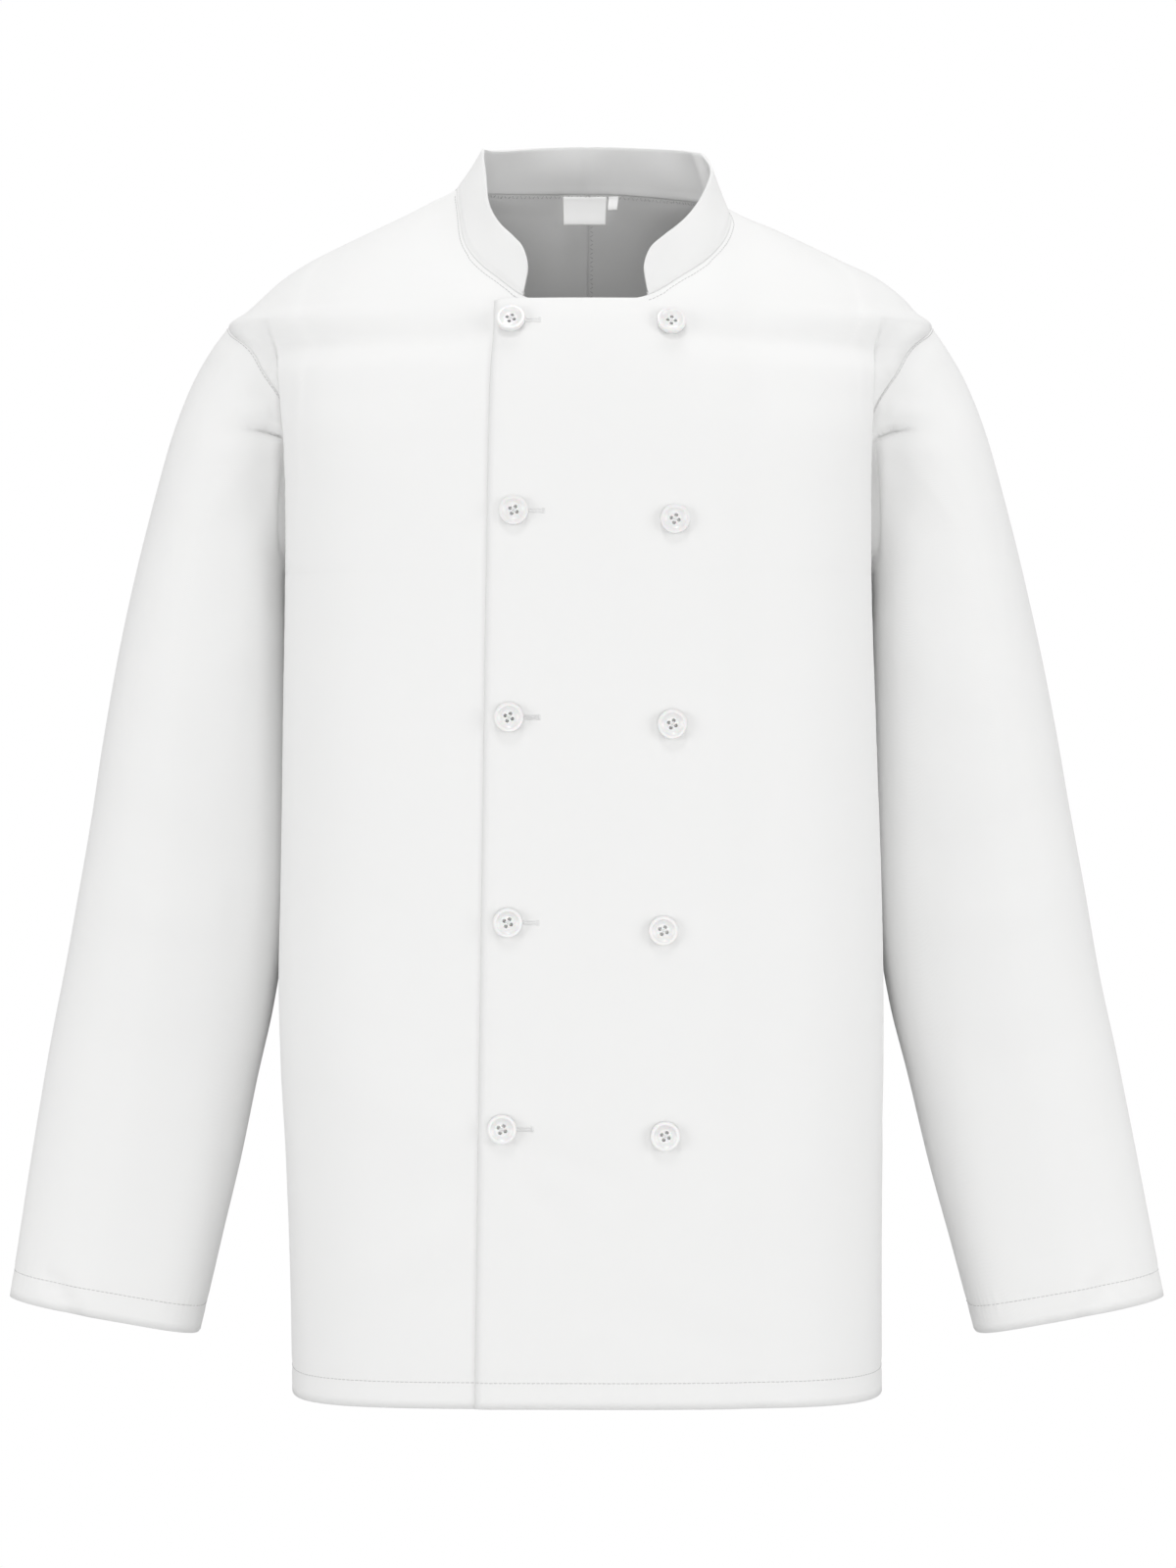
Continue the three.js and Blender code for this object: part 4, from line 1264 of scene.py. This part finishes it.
@dataclass
class Buttons:
    """Ten four-hole buttons, their thread and the buttonholes under five of them."""

    form: JacketForm
    finishes: Finishes
    stitching: Stitching
    radius: float = 9.0
    thick: float = 3.2
    rim: float = 2.0
    step: float = 0.6
    dish_radius: float = 4.4
    dish_depth: float = 1.5
    hole_radius: float = 1.1
    hole_reach: float = 2.4
    dish_floor: float = 0.5
    edge_bevel: float = 0.28
    cloth_stand: float = 1.0
    sink: float = 0.45
    hole_length: float = 22.0
    hole_start: float = 4.0
    lip: float = 0.85
    lip_pitch: float = 0.62
    lip_stitch: float = 1.3
    bar_stitch: float = 1.8
    strand_gap: float = 0.2

    def model(self) -> bpy.types.Object:
        """Models one button, lying on its back at the origin.

        Returns:
            The button.
        """
        Bench.clear_selection()
        bpy.ops.mesh.primitive_cylinder_add(vertices=64, radius=self.radius * MM, depth=self.thick * MM,
                                            location=(0, 0, self.thick * MM / 2))
        button = bpy.context.object
        Bench.settle(button)
        bpy.ops.object.mode_set(mode="EDIT")
        bpy.ops.mesh.select_mode(type="FACE")
        bpy.ops.mesh.select_all(action="DESELECT")
        bpy.ops.object.mode_set(mode="OBJECT")
        for face in button.data.polygons:
            face.select = face.normal.z > 0.9
        bpy.ops.object.mode_set(mode="EDIT")
        bpy.ops.mesh.inset(thickness=self.rim * MM)
        bpy.ops.mesh.inset(thickness=self.step * MM, depth=-self.step * MM)
        ramp = (self.radius - self.rim - self.step - self.dish_radius) * MM
        bpy.ops.mesh.inset(thickness=ramp, depth=-(self.dish_depth - self.step) * MM)
        bpy.ops.mesh.inset(thickness=self.dish_floor * MM)
        bpy.ops.object.mode_set(mode="OBJECT")
        reach = self.hole_reach / math.sqrt(2) * MM
        for x, y in ((-reach, -reach), (-reach, reach), (reach, -reach), (reach, reach)):
            Bench.clear_selection()
            bpy.ops.mesh.primitive_cylinder_add(vertices=16, radius=self.hole_radius * MM, depth=0.02,
                                                location=(x, y, 0))
            pin = bpy.context.object
            cut = button.modifiers.new("hole", "BOOLEAN")
            cut.operation = "DIFFERENCE"
            cut.solver = "EXACT"
            cut.object = pin
            Bench.apply(button, cut.name)
            bpy.data.objects.remove(pin, do_unlink=True)
        soften = button.modifiers.new("edge", "BEVEL")
        soften.width = self.edge_bevel * MM
        soften.segments = 2
        soften.limit_method = "ANGLE"
        soften.angle_limit = math.radians(40)
        Bench.apply(button, soften.name)
        Bench.pick(button)
        bpy.ops.object.shade_smooth_by_angle(angle=math.radians(35))
        return button

    def frame(self, x: float, z: float, turn: float, stand: float) -> Matrix:
        """Finds a button's place on the outer front.

        Args:
            x: Place across the front.
            z: Height.
            turn: Turn of its holes, in degrees.
            stand: How far it stands off the cloth beyond a seam's gap.

        Returns:
            The button's frame, in metres.
        """
        side = Side.RIGHT if x < 0 else Side.LEFT
        depth = float(self.form.sections.at("front", z))
        angle = math.degrees(math.atan2(depth, abs(x)))
        point = self.form.point(side, Face.FRONT, angle, z)
        out = Vector(self.form.outward(side, Face.FRONT, angle, z).tolist())
        lift = self.form.wrap_lift + self.cloth_stand + stand
        place = Vector((point + np.array(out) * lift).tolist()) * MM
        face = Vector((0, 0, 1)).rotation_difference(out).to_matrix().to_4x4()
        return Matrix.Translation(place) @ face @ Matrix.Rotation(math.radians(turn), 4, "Z")

    def threads(self, frame: Matrix) -> list[Matrix]:
        """Lays the thread across a button's four holes.

        Args:
            frame: The button's place.

        Returns:
            Frames for single stitches, two strands one way and one across them.
        """
        height = (self.thick - self.dish_depth + 0.15) * MM
        places = []
        span = 2 * (self.hole_reach - self.hole_radius / 2)
        for angle, shift in ((45, self.strand_gap), (45, -self.strand_gap), (135, 0.0)):
            turn = Matrix.Rotation(math.radians(angle), 4, "Z")
            stretch = Matrix.Diagonal((span / self.stitching.length, 0.8, 0.8, 1))
            lifted = height + (self.strand_gap * MM if angle > 90 else 0)
            places.append(frame @ turn @ Matrix.Translation((0, shift * MM, lifted)) @ stretch)
        return places

    def buttonhole(self, x: float, z: float) -> list[Matrix]:
        """Lays the close stitches round one buttonhole.

        Args:
            x: Where its button sits across the front.
            z: Height.

        Returns:
            Frames for the stitches along both lips and the bar at the far end.
        """
        places = []
        start = x - self.hole_start
        end = start + self.hole_length
        count = int(self.hole_length / self.lip_pitch)
        for lip in (-1, 1):
            for i in range(count):
                at = start + self.hole_length * (i + 0.5) / count
                height = z + lip * self.lip + 0.12 * math.sin(i * 0.9 + z)
                turn = 90 + 11 * lip * math.sin(i * 1.7)
                length = self.lip_stitch + 0.2 * math.sin(i * 2.3)
                places.append(self.on_cloth(at, height, turn, length))
        for i in range(6):
            height = z + (i - 2.5) * self.lip_pitch
            places.append(self.on_cloth(end + 0.5, height, 4 * math.sin(i * 2.1), self.bar_stitch))
        return places

    def on_cloth(self, x: float, z: float, turn: float, length: float) -> Matrix:
        """Finds a stitch's place on the outer front's face.

        Args:
            x: Place across the front.
            z: Height.
            turn: Its direction from level, in degrees.
            length: Its length, in millimetres.

        Returns:
            The stitch's frame, in metres.
        """
        flat = self.frame(x, z, 0, 0)
        back = Matrix.Translation((0, 0, -self.sink * MM))
        out = (flat.to_3x3() @ Vector((0, 0, 1))).normalized()
        level = (Vector((1, 0, 0)) - out * out.x).normalized()
        up = out.cross(level)
        turned = Matrix((level, up, out)).transposed().to_4x4()
        turned.translation = (flat @ back).translation
        stretch = Matrix.Diagonal((length / self.stitching.length, 0.85, 0.7, 1))
        return turned @ Matrix.Rotation(math.radians(turn), 4, "Z") @ stretch

    def build(self) -> None:
        """Makes all ten buttons with their thread, and the five buttonholes."""
        model = self.model()
        strands, holes = [], []
        for i, (z, drop, through_x, sewn_x, through_turn, sewn_turn, stand) in enumerate(BUTTON_ROWS, 1):
            for kind, x, height, turn in (("through", through_x, z, through_turn),
                                          ("sewn", sewn_x, z - drop, sewn_turn)):
                frame = self.frame(x, height, turn, stand)
                button = model.copy()
                button.data = model.data.copy()
                button.name = f"button_{kind}_{i}_plastic"
                bpy.context.scene.collection.objects.link(button)
                button.matrix_world = frame
                Bench.settle(button)
                dress(button, self.finishes.button)
                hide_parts(f"button_{kind}_{i}")
                strands += self.threads(frame)
            holes += self.buttonhole(through_x, z)
        bpy.data.objects.remove(model, do_unlink=True)
        for name, places in (("button_thread", strands), ("buttonhole_stitches", holes)):
            dress(Bench.stamp(name, self.stitching.pattern, places), self.finishes.raised_thread)


@dataclass
class Studio:
    """Floor, light and camera."""

    floor_z: float = -1.45
    floor_radius: float = 2.7
    camera_distance: float = 2.6
    camera_z: float = -0.381
    frame_height: float = 1.016
    sensor: float = 36.0
    world_light: float = 0.505
    floor_color: float = 0.7

    def build(self) -> None:
        """Makes the studio."""
        scene = bpy.context.scene
        scene.view_settings.view_transform = "Standard"
        scene.view_settings.look = "None"
        self.floor()
        self.world(scene)
        for name, place, size, watts in LAMPS:
            self.lamp(name, place, size, watts)
        self.camera(scene)

    def floor(self) -> None:
        """Makes the pale floor, below what the camera sees."""
        Bench.clear_selection()
        bpy.ops.mesh.primitive_circle_add(vertices=96, radius=self.floor_radius, fill_type="NGON",
                                          location=(0, 0, self.floor_z))
        floor = bpy.context.object
        floor.name = "floor"
        Bench.settle(floor)
        paint = NodeMaterial("pale floor", {"Base Color": (*[self.floor_color] * 3, 1), "Roughness": 0.8})
        floor.data.materials.append(paint.material)

    def world(self, scene: bpy.types.Scene) -> None:
        """Makes the white surroundings, which give less light than they show.

        Args:
            scene: The scene that they surround.
        """
        world = bpy.data.worlds.new("white")
        world.use_nodes = True
        nodes, links = world.node_tree.nodes, world.node_tree.links
        seen = nodes["Background"]
        seen.inputs["Color"].default_value = (1, 1, 1, 1)
        seen.inputs["Strength"].default_value = 1.0
        given = nodes.new("ShaderNodeBackground")
        given.inputs["Color"].default_value = (1, 1, 1, 1)
        given.inputs["Strength"].default_value = self.world_light
        ray = nodes.new("ShaderNodeLightPath")
        mix = nodes.new("ShaderNodeMixShader")
        links.new(ray.outputs["Is Camera Ray"], mix.inputs[0])
        links.new(given.outputs["Background"], mix.inputs[1])
        links.new(seen.outputs["Background"], mix.inputs[2])
        links.new(mix.outputs["Shader"], nodes["World Output"].inputs["Surface"])
        scene.world = world

    def lamp(self, name: str, place: tuple[float, float, float], size: float, watts: float) -> None:
        """Adds a soft lamp that faces the jacket's middle.

        Args:
            name: The lamp's name.
            place: Where it stands, in metres.
            size: Its width.
            watts: Its power.
        """
        data = bpy.data.lights.new(name, "AREA")
        data.shape = "SQUARE"
        data.size = size
        data.energy = watts
        lamp = bpy.data.objects.new(name, data)
        lamp.location = place
        aim = Vector((0, 0, self.camera_z)) - Vector(place)
        lamp.rotation_euler = aim.to_track_quat("-Z", "Y").to_euler()
        bpy.context.scene.collection.objects.link(lamp)

    def camera(self, scene: bpy.types.Scene) -> None:
        """Adds the camera, level and square on, as the photograph was taken."""
        data = bpy.data.cameras.new("camera")
        data.sensor_fit = "VERTICAL"
        data.sensor_height = self.sensor
        data.lens = self.sensor * self.camera_distance / self.frame_height
        data.clip_end = 20.0
        camera = bpy.data.objects.new("camera", data)
        camera.location = (0, -self.camera_distance, self.camera_z)
        camera.rotation_euler = (math.pi / 2, 0, 0)
        scene.collection.objects.link(camera)
        scene.camera = camera


def main() -> None:
    """Loads the frame and makes the jacket and its studio."""
    logging.basicConfig(level=logging.INFO, format="%(message)s")
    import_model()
    Bench.clear_selection()
    form = JacketForm()
    finishes = Finishes()
    stitching = Stitching(finishes)
    body = Body(form, finishes, stitching)
    body.build()
    for side in Side:
        Sleeve(form, finishes, stitching, side).build(body)
    Collar(form, finishes).build(body)
    Patch(form, finishes, "label", -17, 12.5, 9, -7.5).build()
    Patch(form, finishes, "size_tab", 14.3, 21.5, 9, 2.5).build()
    Buttons(form, finishes, stitching).build()
    stitching.finish()
    Studio().build()


if __name__ == "__main__":
    main()
